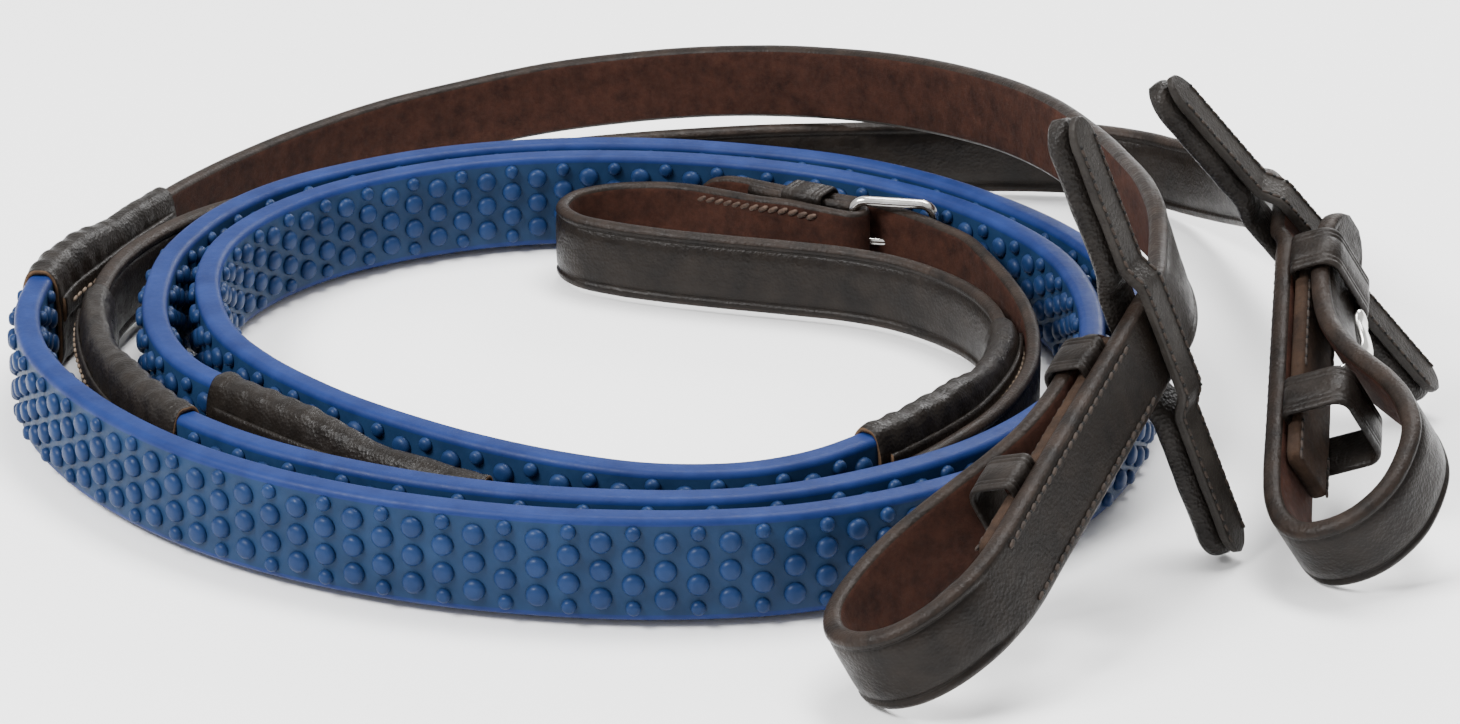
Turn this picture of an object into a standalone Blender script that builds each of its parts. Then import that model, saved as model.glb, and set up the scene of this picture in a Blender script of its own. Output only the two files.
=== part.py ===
"""Pair of rubber-grip riding reins, coiled and standing on edge, with both bit ends fastened.

Units are metres and +Z is up. The floor is z = 0. Two half reins meet at the centre buckle.
Half rein A carries the pointed centre strap. Half rein B carries the centre buckle.
"""

import math

import bmesh
import bpy
import numpy as np
from mathutils import Matrix, Vector

STRAP_WIDTH = 0.0160
STRAP_THICKNESS = 0.0038
CENTRE_THICKNESS = 0.0030
GRIP_WIDTH = 0.0200
GRIP_THICKNESS = 0.0050
GRIP_SLOT = (0.0156, 0.0026)
CORE_WIDTH = 0.0144
CORE_THICKNESS = 0.0016
SLEEVE_WALL = 0.0010
GAP = 0.0003
FRAME_WIRE = 0.0011
TONGUE_WIRE = 0.0007
FRAME_HALF_WIDTH = 0.00965
KEEPER_WIDTH = 0.0090
STOP_WIDTH = 0.0090
UP = (0.0, 0.0, 1.0)
ORIGIN = (0.00091, 0.00329, 0.00151)

# Bit ends: u runs from the loop towards the rein stop, n from the rein towards its folded end.
BIT_A_ORIGIN = (0.0486, -0.1262, 0.0210)
BIT_A_ALONG = (0.4200, 0.8500, 0.3170)
BIT_A_ACROSS = (-0.4520, -0.1070, 0.8860)
BIT_B_ORIGIN = (0.1018, -0.0678, 0.0116)
BIT_B_ALONG = (0.1177, 0.9000, 0.4200)
BIT_B_ACROSS = (-0.4750, -0.3205, 0.8197)

# The folded end of each rein and its loop, as (u, n), from the rounded tip to the rein stop.
LOOP_A = [
    (0.0625, 0.0090), (0.0560, 0.0082), (0.0500, 0.0077), (0.0450, 0.0075), (0.0413, 0.0077),
    (0.0370, 0.0082), (0.0332, 0.0090), (0.0300, 0.0101), (0.0270, 0.0116), (0.0230, 0.0139),
    (0.0190, 0.0165), (0.0150, 0.0190), (0.0100, 0.0220), (0.0050, 0.0245), (-0.0010, 0.0266),
    (-0.0090, 0.0279),
    (-0.0150, 0.0274), (-0.0204, 0.0240), (-0.0230, 0.0184), (-0.0224, 0.0124),
    (-0.0190, 0.0074), (-0.0130, 0.0032), (-0.0065, 0.0009), (0.0, 0.0), (0.0100, 0.0),
    (0.0240, 0.0), (0.0380, 0.0), (0.0520, 0.0), (0.0646, 0.0), (0.0730, 0.0),
]
LOOP_B = [
    (0.0625, 0.0092), (0.0560, 0.0082), (0.0500, 0.0077), (0.0450, 0.0075), (0.0413, 0.0077),
    (0.0370, 0.0082), (0.0332, 0.0090), (0.0300, 0.0101), (0.0270, 0.0116), (0.0226, 0.0142),
    (0.0175, 0.0181), (0.0125, 0.0219), (0.0060, 0.0253), (-0.0010, 0.0268),
    (-0.0084, 0.0252), (-0.0139, 0.0222), (-0.0183, 0.0167), (-0.0197, 0.0110),
    (-0.0187, 0.0058), (-0.0150, 0.0024), (-0.0100, 0.0006), (-0.0040, 0.0), (0.0100, 0.0),
    (0.0240, 0.0), (0.0380, 0.0), (0.0500, 0.0), (0.0555, 0.0),
]

# Routes of the strap middles as (x, y, z), in the order of the leather from bit end to centre.
ROUTE_A = [
    (0.0808, -0.0528, 0.0453), (0.0808, -0.0395, 0.0466), (0.0792, -0.0223, 0.0457),
    (0.0764, -0.0034, 0.0433), (0.0714, 0.0248, 0.0396), (0.0651, 0.0492, 0.0366),
    (0.0563, 0.0712, 0.0333), (0.0449, 0.0899, 0.0301), (0.0330, 0.1039, 0.0274),
    (0.0220, 0.1135, 0.0252), (0.0090, 0.1215, 0.0230), (-0.0060, 0.1280, 0.0205),
    (-0.0220, 0.1320, 0.0178), (-0.0400, 0.1330, 0.0150), (-0.0580, 0.1290, 0.0125),
    (-0.0750, 0.1205, 0.0110), (-0.0910, 0.1070, 0.0100), (-0.1040, 0.0915, 0.0095),
    (-0.1140, 0.0750, 0.0095), (-0.1220, 0.0570, 0.0098), (-0.1295, 0.0380, 0.0100),
]
GRIP_A = [
    (-0.1348, 0.0230, 0.0100), (-0.1362, 0.0140, 0.0100), (-0.1368, 0.0, 0.0100),
    (-0.1355, -0.0110, 0.0100),
    (-0.1325, -0.0220, 0.0100), (-0.1278, -0.0325, 0.0100), (-0.1215, -0.0432, 0.0100),
    (-0.1140, -0.0534, 0.0100), (-0.1018, -0.0666, 0.0100), (-0.0888, -0.0768, 0.0100),
    (-0.0750, -0.0850, 0.0100), (-0.0600, -0.0915, 0.0100), (-0.0410, -0.0967, 0.0100),
    (-0.0230, -0.0994, 0.0100), (-0.0050, -0.0995, 0.0100), (0.0120, -0.0970, 0.0100),
    (0.0280, -0.0910, 0.0100), (0.0450, -0.0805, 0.0100), (0.0610, -0.0645, 0.0100),
    (0.0725, -0.0440, 0.0100), (0.0785, -0.0200, 0.0100), (0.0790, 0.0020, 0.0100),
    (0.0753, 0.0222, 0.0100), (0.0670, 0.0410, 0.0100), (0.0550, 0.0570, 0.0100),
    (0.0396, 0.0718, 0.0100), (0.0225, 0.0820, 0.0100), (0.0040, 0.0882, 0.0100),
    (-0.0160, 0.0918, 0.0100), (-0.0380, 0.0917, 0.0100), (-0.0600, 0.0868, 0.0100),
    (-0.0790, 0.0773, 0.0100), (-0.0950, 0.0643, 0.0100), (-0.1055, 0.0480, 0.0100),
    (-0.1115, 0.0290, 0.0100), (-0.1128, 0.0120, 0.0100), (-0.1118, -0.0030, 0.0100),
    (-0.1085, -0.0170, 0.0100), (-0.1025, -0.0300, 0.0100), (-0.0950, -0.0390, 0.0100),
    (-0.0860, -0.0480, 0.0100),
]
POINT_STRAP = [
    (-0.0760, -0.0570, 0.0098), (-0.0650, -0.0658, 0.0092),
    (-0.0550, -0.0722, 0.0085), (-0.0450, -0.0773, 0.0080), (-0.0350, -0.0810, 0.0080),
    (-0.0250, -0.0838, 0.0080), (-0.0120, -0.0859, 0.0080), (0.0020, -0.0856, 0.0080),
    (0.0140, -0.0818, 0.0080), (0.0250, -0.0748, 0.0080), (0.0340, -0.0658, 0.0080),
    (0.0415, -0.0560, 0.0080), (0.0485, -0.0450, 0.0080), (0.0540, -0.0330, 0.0082),
    (0.0575, -0.0210, 0.0085), (0.0587, -0.0080, 0.0090), (0.0578, 0.0060, 0.0096),
    (0.0548, 0.0190, 0.0102), (0.0512, 0.0305, 0.0106), (0.0480, 0.0390, 0.0108),
]
ROUTE_B = [
    (0.1098, -0.0050, 0.0388), (0.1097, 0.0080, 0.0372), (0.1092, 0.0250, 0.0314),
    (0.1084, 0.0420, 0.0262), (0.1070, 0.0580, 0.0211), (0.1048, 0.0730, 0.0164),
    (0.1015, 0.0860, 0.0126), (0.0973, 0.0970, 0.0097), (0.0900, 0.1065, 0.0084),
    (0.0800, 0.1120, 0.0081), (0.0660, 0.1142, 0.0080),
    (0.0480, 0.1145, 0.0080), (0.0280, 0.1138, 0.0080), (0.0070, 0.1122, 0.0080),
    (-0.0240, 0.1065, 0.0080), (-0.0500, 0.0985, 0.0080), (-0.0720, 0.0893, 0.0080),
    (-0.0890, 0.0790, 0.0080), (-0.1020, 0.0675, 0.0083), (-0.1110, 0.0570, 0.0088),
    (-0.1175, 0.0455, 0.0093), (-0.1220, 0.0330, 0.0097), (-0.1243, 0.0200, 0.0100),
    (-0.1243, 0.0050, 0.0100), (-0.1220, -0.0100, 0.0100), (-0.1180, -0.0240, 0.0100),
]
GRIP_B = [
    (-0.1112, -0.0388, 0.0100), (-0.1035, -0.0510, 0.0100), (-0.0950, -0.0600, 0.0100),
    (-0.0835, -0.0690, 0.0100),
    (-0.0698, -0.0768, 0.0100), (-0.0550, -0.0832, 0.0100), (-0.0380, -0.0882, 0.0100),
    (-0.0200, -0.0908, 0.0100), (-0.0030, -0.0907, 0.0100), (0.0120, -0.0876, 0.0100),
    (0.0275, -0.0802, 0.0100), (0.0435, -0.0688, 0.0100), (0.0572, -0.0522, 0.0100),
    (0.0663, -0.0330, 0.0100), (0.0698, -0.0120, 0.0100), (0.0695, 0.0070, 0.0100),
    (0.0658, 0.0250, 0.0100), (0.0575, 0.0417, 0.0100), (0.0449, 0.0571, 0.0100),
    (0.0300, 0.0683, 0.0100), (0.0125, 0.0770, 0.0100), (-0.0080, 0.0825, 0.0100),
    (-0.0280, 0.0843, 0.0100), (-0.0480, 0.0820, 0.0100), (-0.0665, 0.0752, 0.0100),
    (-0.0830, 0.0640, 0.0100), (-0.0948, 0.0500, 0.0100), (-0.1018, 0.0340, 0.0100),
    (-0.1035, 0.0180, 0.0100), (-0.1018, 0.0030, 0.0100), (-0.0968, -0.0140, 0.0100),
    (-0.0884, -0.0285, 0.0100), (-0.0770, -0.0420, 0.0100), (-0.0630, -0.0545, 0.0100),
    (-0.0460, -0.0662, 0.0100), (-0.0300, -0.0745, 0.0100), (-0.0140, -0.0792, 0.0100),
    (0.0020, -0.0790, 0.0100), (0.0140, -0.0742, 0.0100), (0.0245, -0.0657, 0.0100),
    (0.0335, -0.0555, 0.0100),
]
BUCKLE_STRAP = [
    (0.0415, -0.0440, 0.0098), (0.0475, -0.0310, 0.0093),
    (0.0515, -0.0170, 0.0086), (0.0530, -0.0040, 0.0082), (0.0518, 0.0080, 0.0080),
    (0.0478, 0.0185, 0.0080), (0.0410, 0.0275, 0.0080), (0.0330, 0.0343, 0.0080),
    (0.0240, 0.0388, 0.0080), (0.0120, 0.0424, 0.0080), (-0.0020, 0.0460, 0.0080),
    (-0.0140, 0.0495, 0.0080), (-0.0240, 0.0534, 0.0080), (-0.0315, 0.0580, 0.0080),
    (-0.0348, 0.0645, 0.0080), (-0.0325, 0.0712, 0.0080), (-0.0260, 0.0753, 0.0081),
    (-0.0170, 0.0757, 0.0085), (-0.0088, 0.0728, 0.0091), (-0.0014, 0.0679, 0.0097),
    (0.0062, 0.0625, 0.0103),
]

# Centre buckle: its hinge bar stands upright. u runs towards the pointed tip, n to the far side.
CENTRE_HINGE = (0.0252, 0.0546, 0.0108)
CENTRE_ALONG = (-0.8700, 0.4900, 0.0)
CENTRE_BAR = (-0.0160, 0.0056)
TURN = [
    (0.0130, -0.0023), (0.0090, -0.0025), (0.0050, -0.0026), (0.0010, -0.0026),
    (-0.0015, -0.0021), (-0.0026, 0.0), (-0.0015, 0.0021), (0.0010, 0.0026), (0.0050, 0.0021),
    (0.0100, 0.0013), (0.0150, 0.0011), (0.0200, 0.0013), (0.0250, 0.0017),
]
TIP = [
    (-0.0200, 0.0008), (-0.0148, 0.0028), (-0.0100, 0.0042), (-0.0050, 0.0052), (0.0, 0.0057),
    (0.0050, 0.0055), (0.0100, 0.0049), (0.0150, 0.0045), (0.0210, 0.0044), (0.0270, 0.0046),
    (0.0330, 0.0046), (0.0390, 0.0046),
]
CENTRE_KEEPER = (0.0118, -0.00090, 0.0070)

# Rein stops: distance along the bit end, and the direction of the bar on half rein B.
STOPS = {"front": 0.0646, "right": 0.0620}
STOP_A_SKEW = 11.0
STOP_B_BAR = (-0.6300, -0.1200, 0.7670)

KEEPERS = {
    "front": {"upper": (0.0500, 0.0104), "lower": (0.0170, 0.0110)},
    "right": {"upper": (0.0490, 0.0104), "lower": (0.0125, 0.0140)},
}
# Hook stud, as (u, n): its foot lies in the sewn strip, and its head outside the folded end.
HOOK = [
    (0.0398, 0.0037), (0.0280, 0.0037), (0.0256, 0.0039), (0.0243, 0.0049), (0.0238, 0.0066),
    (0.0239, 0.0090), (0.0244, 0.0112), (0.0257, 0.0134), (0.0280, 0.0145), (0.0310, 0.0141),
    (0.0345, 0.0132), (0.0382, 0.0134),
]
HOOK_THICKNESS = 0.0012
HOOK_WIDTH = 0.0048

SLEEVE_END_SIZE = (0.0190, 0.0074)
SLEEVE_MOUTH_SIZE = (0.0228, 0.0080)


def start():
    for obj in list(bpy.data.objects):
        bpy.data.objects.remove(obj, do_unlink=True)
    for name, hidden in (("leather_reins", False), ("cutters", True)):
        collection = bpy.data.collections.new(name)
        collection.hide_render = hidden
        bpy.context.scene.collection.children.link(collection)


def unit(vector):
    vector = np.asarray(vector, float)
    return vector / np.linalg.norm(vector)


def material(name, colour, roughness, metallic=0.0):
    made = bpy.data.materials.new(name)
    made.use_nodes = True
    shader = made.node_tree.nodes["Principled BSDF"]
    shader.inputs["Base Color"].default_value = (*colour, 1.0)
    shader.inputs["Roughness"].default_value = roughness
    shader.inputs["Metallic"].default_value = metallic
    return made


def add(name, verts, faces, look, collection="leather_reins"):
    mesh = bpy.data.meshes.new(name)
    mesh.from_pydata([tuple(v) for v in verts], [], faces)
    mesh.validate()
    obj = bpy.data.objects.new(name, mesh)
    bpy.data.collections[collection].objects.link(obj)
    obj.data.materials.append(look)
    return obj


class Place:
    """A local frame: u along, n off the face, w across. Points in it are (u, n, w)."""

    def __init__(self, origin, along, across, flip=False):
        self.origin = np.array(origin, float) + np.array(ORIGIN)
        self.along = unit(along)
        across = np.array(across, float)
        self.across = unit(across - across @ self.along * self.along)
        self.off = np.cross(self.across, self.along) * (-1 if flip else 1)

    def point(self, u, n, w=0.0):
        return self.origin + u * self.along + n * self.off + w * self.across

    def matrix(self, u, n, w=0.0):
        third = np.cross(self.along, self.off)
        made = Matrix([[*column] for column in (self.along, self.off, third)]).transposed().to_4x4()
        made.translation = self.point(u, n, w)
        return made


def smooth(rows, turn=9.0, longest=0.0105):
    """Stations along a centripetal Catmull-Rom curve through rows of x, y, z and anything more."""
    rows = np.array(rows, float)
    knots = np.linalg.norm(np.diff(rows[:, :3], axis=0), axis=1) ** 0.5
    knots = np.concatenate([[0.0], np.cumsum(knots)])
    rows = np.vstack([2 * rows[0] - rows[1], rows, 2 * rows[-1] - rows[-2]])
    knots = np.concatenate([[2 * knots[0] - knots[1]], knots, [2 * knots[-1] - knots[-2]]])
    fine = []
    for i in range(1, len(rows) - 2):
        for at in np.linspace(knots[i], knots[i + 1], 20, endpoint=False):
            level = [rows[i - 1 + j] for j in range(4)]
            times = knots[i - 1 : i + 3]
            for depth in (1, 2, 3):
                spans = range(4 - depth)
                if depth == 3:
                    low, high = times[1], times[2]
                    level = [((high - at) * level[0] + (at - low) * level[1]) / (high - low)]
                    continue
                level = [
                    ((times[j + depth] - at) * level[j] + (at - times[j]) * level[j + 1])
                    / (times[j + depth] - times[j])
                    for j in spans
                ]
            fine.append(level[0])
    fine.append(rows[-2])
    fine = np.array(fine)
    steps = np.diff(fine[:, :3], axis=0)
    length = np.linalg.norm(steps, axis=1)
    heading = steps / length[:, None]
    bend = np.degrees(np.arccos(np.clip((heading[1:] * heading[:-1]).sum(axis=1), -1, 1)))
    effort = length / longest
    effort[1:] += bend / turn
    if fine.shape[1] > 3:
        effort += 57.3 * np.linalg.norm(np.diff(fine[:, 3:6], axis=0), axis=1) / turn
    effort = np.concatenate([[0.0], np.cumsum(effort)])
    count = max(3, int(math.ceil(effort[-1])) + 1)
    wanted = np.linspace(0.0, effort[-1], count)
    return np.stack([np.interp(wanted, effort, column) for column in fine.T], axis=1)


def distances(stations):
    steps = np.linalg.norm(np.diff(stations[:, :3], axis=0), axis=1)
    return np.concatenate([[0.0], np.cumsum(steps)])


def axes(stations):
    """Along, across and off directions at each station, the across one from columns 3 to 5."""
    along = np.gradient(stations[:, :3], axis=0)
    along /= np.linalg.norm(along, axis=1)[:, None]
    across = stations[:, 3:6]
    across = across - (across * along).sum(axis=1)[:, None] * along
    across /= np.linalg.norm(across, axis=1)[:, None]
    return along, across, np.cross(along, across)


def upright(rows):
    return [(x + ORIGIN[0], y + ORIGIN[1], z + ORIGIN[2], *UP) for x, y, z in rows]


def section(width, thickness, corners=8):
    w, t = width / 2, thickness / 2
    if corners == 4:
        return [(w, t), (-w, t), (-w, -t), (w, -t)]
    c = min(0.30 * thickness, 0.3 * width)
    return [
        (w - c, t), (c - w, t), (-w, t - c), (-w, c - t),
        (c - w, -t), (w - c, -t), (w, c - t), (w, t - c),
    ]


def rings(stations, widths, thicknesses, corners=8):
    _, across, off = axes(stations)
    made = []
    for i, row in enumerate(stations):
        made.append(
            [row[:3] + a * across[i] + b * off[i]
             for a, b in section(widths[i], thicknesses[i], corners)]
        )
    return made


def skin(count, size, first=0, inward=False):
    faces = []
    for i in range(count - 1):
        for j in range(size):
            k = (j + 1) % size
            face = (
                first + i * size + j, first + i * size + k,
                first + (i + 1) * size + k, first + (i + 1) * size + j,
            )
            faces.append(face[::-1] if inward else face)
    return faces


def spread(value, count):
    return np.full(count, value) if np.isscalar(value) else np.array(value)


def band(name, stations, width, thickness, look, corners=8):
    """A solid strap: one rounded section carried along the stations."""
    count = len(stations)
    loops = rings(stations, spread(width, count), spread(thickness, count), corners)
    size = len(loops[0])
    faces = skin(count, size)
    faces.append(tuple(range(size))[::-1])
    faces.append(tuple(range((count - 1) * size, count * size)))
    return add(name, [v for loop in loops for v in loop], faces, look)


def tube(name, stations, outer, inner, look, corners=8):
    """A flat hollow sleeve. Each of outer and inner is (width, thickness), single or per station."""
    count = len(stations)
    verts = []
    for size in (outer, inner):
        loops = rings(stations, spread(size[0], count), spread(size[1], count), corners)
        verts += [v for loop in loops for v in loop]
    side = corners
    half = count * side
    faces = skin(count, side) + skin(count, side, half, True)
    for j in range(side):
        k = (j + 1) % side
        faces.append((k, j, half + j, half + k))
        last = (count - 1) * side
        faces.append((last + j, last + k, half + last + k, half + last + j))
    return add(name, verts, faces, look)


def wire(name, points, radius, look, matrix, cyclic=False, sides=2):
    """A round wire through local points, in an object that stands at the matrix."""
    curve = bpy.data.curves.new(name, "CURVE")
    curve.dimensions = "3D"
    curve.bevel_depth = radius
    curve.bevel_resolution = sides
    curve.use_fill_caps = not cyclic
    spline = curve.splines.new("POLY")
    spline.points.add(len(points) - 1)
    for point, place in zip(spline.points, points):
        point.co = (*place, 1.0)
    spline.use_cyclic_u = cyclic
    obj = bpy.data.objects.new(name, curve)
    bpy.data.collections["leather_reins"].objects.link(obj)
    obj.data.materials.append(look)
    obj.matrix_world = matrix
    return obj


def plate(name, outline, hole, half, look, matrix):
    """An outline in the local u-n plane, with or without a hole, extruded half each way."""
    curve = bpy.data.curves.new(name, "CURVE")
    curve.dimensions = "2D"
    curve.fill_mode = "BOTH"
    curve.extrude = half
    for ring in (outline, hole) if hole else (outline,):
        spline = curve.splines.new("POLY")
        spline.points.add(len(ring) - 1)
        for point, place in zip(spline.points, ring):
            point.co = (*place, 0.0, 1.0)
        spline.use_cyclic_u = True
    draft = bpy.data.objects.new(name + "_outline", curve)
    bpy.data.collections["cutters"].objects.link(draft)
    bpy.context.view_layer.update()
    graph = bpy.context.evaluated_depsgraph_get()
    mesh = bpy.data.meshes.new_from_object(draft.evaluated_get(graph))
    bpy.data.objects.remove(draft, do_unlink=True)
    work = bmesh.new()
    work.from_mesh(mesh)
    bmesh.ops.remove_doubles(work, verts=work.verts, dist=0.000005)
    bmesh.ops.recalc_face_normals(work, faces=work.faces)
    work.to_mesh(mesh)
    work.free()
    mesh.materials.clear()
    mesh.materials.append(look)
    obj = bpy.data.objects.new(name, mesh)
    bpy.data.collections["leather_reins"].objects.link(obj)
    obj.matrix_world = matrix
    return obj


def box(name, matrix, low, high):
    x0, y0, z0 = low
    x1, y1, z1 = high
    verts = [(x, y, z) for x in (x0, x1) for y in (y0, y1) for z in (z0, z1)]
    faces = [(0, 1, 3, 2), (4, 6, 7, 5), (0, 4, 5, 1), (2, 3, 7, 6), (0, 2, 6, 4), (1, 5, 7, 3)]
    obj = add(name, verts, faces, bpy.data.materials["cutter"], "cutters")
    obj.matrix_world = matrix
    obj.hide_render = True
    obj.display_type = "WIRE"
    return obj


def rod(name, start_at, end_at, radius):
    axis = unit(end_at - start_at)
    side = unit(np.cross(axis, (0.3, 0.9, 0.2)))
    other = np.cross(axis, side)
    verts = []
    for end in (start_at, end_at):
        for k in range(12):
            angle = math.tau * k / 12
            verts.append(end + radius * (math.cos(angle) * side + math.sin(angle) * other))
    faces = [(k, (k + 1) % 12, 12 + (k + 1) % 12, 12 + k) for k in range(12)]
    faces += [tuple(range(12))[::-1], tuple(range(12, 24))]
    obj = add(name, verts, faces, bpy.data.materials["cutter"], "cutters")
    obj.hide_render = True
    obj.display_type = "WIRE"
    return obj


def cut(obj, cutter):
    boolean = obj.modifiers.new("cut_" + cutter.name, "BOOLEAN")
    boolean.operation = "DIFFERENCE"
    boolean.solver = "EXACT"
    boolean.object = cutter


def arc(centre, radius, first, last, count):
    angles = np.radians(np.linspace(first, last, count))
    return [(centre[0] + radius * math.cos(a), centre[1] + radius * math.sin(a)) for a in angles]


def rounded_ring(length, half_width, corner=0.0026):
    """Corner points of a buckle frame in its own plane: hinge bar at u = 0, crossbar at length."""
    points = []
    for u, w, first in (
        (length - corner, half_width - corner, 0),
        (corner, half_width - corner, 90),
        (corner, corner - half_width, 180),
        (length - corner, corner - half_width, 270),
    ):
        for angle in np.radians([first, first + 30, first + 60, first + 90]):
            points.append((u + corner * math.cos(angle), 0.0, w + corner * math.sin(angle)))
    return points


def buckle(prefix, place, hinge, bar, steel):
    """The frame and its tongue, both standing on the hinge bar's axis, and the tongue's hole."""
    du, dn = bar[0] - hinge[0], bar[1] - hinge[1]
    length = math.hypot(du, dn)
    matrix = place.matrix(*hinge) @ Matrix.Rotation(math.atan2(dn, du), 4, "Z")
    ring = rounded_ring(length, FRAME_HALF_WIDTH)
    wire(prefix + "_buckle_frame", ring, FRAME_WIRE, steel, matrix, True, 1)
    reach = FRAME_WIRE + 0.00025 + TONGUE_WIRE
    rest = FRAME_WIRE + TONGUE_WIRE + 0.0003
    path = [(-reach * math.sin(a), -reach * math.cos(a), 0.0) for a in np.radians(range(-285, 1, 35))]
    path += [(0.0030, -reach, 0.0), (length + 0.0008, -rest, 0.0)]
    wire(prefix + "_buckle_tongue", path, TONGUE_WIRE, steel, matrix)
    ends = [np.array(matrix @ Vector((u, -rest, 0.0))) for u in (-0.0010, length + 0.0030)]
    return rod(prefix + "_tongue_hole", *ends, 0.0015)


def keeper(name, place, at, low, high, look, leg=0.0009):
    """A closed leather loop across the strap: its lower leg lies between the sewn layers."""
    half, wall = 0.00835, 0.0012
    outer_w, inner_w = half + wall, half
    outer = [(-outer_w, low), (outer_w, low), (outer_w, high + wall * 0.5),
             (outer_w - wall * 0.5, high + wall), (wall * 0.5 - outer_w, high + wall),
             (-outer_w, high + wall * 0.5)]
    inner = [(-inner_w, low + leg), (inner_w, low + leg), (inner_w, high), (-inner_w, high)]
    matrix = place.matrix(at, 0.0) @ Matrix(
        ((0.0, 0.0, 1.0, 0.0), (0.0, 1.0, 0.0, 0.0), (-1.0, 0.0, 0.0, 0.0), (0.0, 0.0, 0.0, 1.0))
    )
    plate(name, outer, inner, KEEPER_WIDTH / 2, look, matrix)


def hook_stud(prefix, place, steel):
    """A bent metal hook. It returns the cutter of the slot that it needs in the folded end."""
    path = np.array(HOOK)
    heading = np.gradient(path, axis=0)
    heading /= np.linalg.norm(heading, axis=1)[:, None]
    side = np.stack([-heading[:, 1], heading[:, 0]], axis=1) * HOOK_THICKNESS / 2
    outline = [tuple(p) for p in path + side] + [tuple(p) for p in (path - side)[::-1]]
    plate(f"{prefix}_hook_stud", outline, None, HOOK_WIDTH / 2, steel, place.matrix(0.0, 0.0))
    return box(
        f"{prefix}_billet_slot", place.matrix(0.0, 0.0), (0.0228, 0.0078, -0.0028),
        (0.0292, 0.0165, 0.0028),
    )


def chape(prefix, place, end, look):
    """The sewn strip under the folded end: it holds the keepers' legs and the stud's foot."""
    outline = [(0.0, 0.0022)]
    for label, deep in (("lower", 0.0034), ("upper", 0.0035)):
        at = KEEPERS[prefix][label][0]
        half = KEEPER_WIDTH / 2 + GAP
        outline += [(at - half, 0.0022), (at - half, deep), (at + half, deep), (at + half, 0.0022)]
    outline += [(end, 0.0022), (end, 0.0044), (end - 0.0008, 0.0050), (0.0008, 0.0050), (0.0, 0.0044)]
    strip = plate(f"{prefix}_chape", outline, None, 0.0067, look, place.matrix(0.0, 0.0))
    for label, low, high in (
        ("neck", (0.0227, 0.0036, -0.0030), (0.0264, 0.0060, 0.0030)),
        ("foot", (0.0230, 0.0028, -0.0028), (0.0403, 0.0046, 0.0028)),
    ):
        cut(strip, box(f"{prefix}_{label}_slot", place.matrix(0.0, 0.0), low, high))


def rein_stop(prefix, place, bar, pad_side, dark, face):
    """Two sewn leather layers across the strap, which passes between them at the middle."""
    long = unit(bar)
    wide = unit(place.along - place.along @ long * long)
    off = np.cross(long, wide) * np.sign(np.cross(place.across, place.along) @ place.off)
    centre = place.point(STOPS[prefix], 0.0)
    ends = [(-0.0440, 0.30), (-0.0432, 0.58), (-0.0415, 0.82), (-0.0385, 1.0)]
    spans = ends + [(-0.0270, 1.0), (-0.0155, 1.0), (-0.0095, 1.0), (0.0, 1.0)]
    spans += [(-w, s) for w, s in reversed(spans[:-1])]
    for label, sign, wing, middle, wing_t, middle_t, look in (
        ("pad", pad_side, 0.0023, 0.0041, 0.0042, 0.0030, dark),
        ("face", -pad_side, 0.00115, 0.0036, 0.0018, 0.0018, face),
    ):
        rows, widths, thick = [], [], []
        for w, size in spans:
            ease = min(1.0, max(0.0, (abs(w) - 0.0100) / 0.0055))
            n = sign * (middle + (wing - middle) * ease)
            rows.append((*(centre + w * long + n * off), *wide))
            widths.append(STOP_WIDTH * size)
            thick.append((middle_t + (wing_t - middle_t) * ease) * (0.75 + 0.25 * size))
        layer = band(f"{prefix}_rein_stop_{label}", np.array(rows), widths, thick, look)
        layer.data.transform(Matrix.Translation(-Vector(centre)))
        layer.matrix_world = Matrix.Translation(centre)


def sleeve(name, stations, look):
    """A sewn leather sleeve: snug on the strap at one end, over the rubber at its mouth."""
    along = distances(stations)
    along = along / along[-1]
    ease = np.clip((along - 0.35) / 0.3, 0, 1)
    outer_w = SLEEVE_END_SIZE[0] + (SLEEVE_MOUTH_SIZE[0] - SLEEVE_END_SIZE[0]) * ease
    outer_t = SLEEVE_END_SIZE[1] + (SLEEVE_MOUTH_SIZE[1] - SLEEVE_END_SIZE[1]) * ease
    inner = (outer_w - 2 * SLEEVE_WALL, outer_t - 2 * SLEEVE_WALL)
    return tube(name, stations, (outer_w, outer_t), inner, look)


def sleeve_over(name, leather_rows, grip_rows, before, after, look):
    """Places a sleeve round the point where the leather meets the rubber, at the rows' join."""
    lead = smooth(upright(leather_rows + grip_rows[:1]), 9.0, 0.0060)
    whole = smooth(upright(leather_rows + grip_rows), 9.0, 0.0060)
    join = distances(lead)[-1]
    return sleeve(name, between(whole, join - before, join + after), look)


def between(stations, first, last):
    along = distances(stations)
    inside = (along > first + 0.001) & (along < last - 0.001)
    ends = [[np.interp(x, along, column) for column in stations.T] for x in (first, last)]
    return np.vstack([ends[0], stations[inside], ends[1]])


def tip_widths(stations, full, tip_first):
    """Strap widths with a rounded point at one end."""
    along = distances(stations)
    if not tip_first:
        along = along[-1] - along
    return full * np.interp(along, [0.0, 0.0012, 0.0035, 0.0070, 0.0110], [0.42, 0.6, 0.8, 0.95, 1.0])


def dense_end(stations, tip_first, steps=(0.0012, 0.0035, 0.0070, 0.0110)):
    """Adds stations near one end, where the point is rounded."""
    along = distances(stations)
    extra = steps if tip_first else [along[-1] - s for s in steps]
    wanted = np.sort(np.concatenate([along, extra]))
    keep = np.concatenate([[True], np.diff(wanted) > 0.0009])
    wanted = wanted[keep]
    return np.stack([np.interp(wanted, along, column) for column in stations.T], axis=1)


def bit_rows(place, loop):
    return [(*place.point(u, n), *place.across) for u, n in loop]


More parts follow.
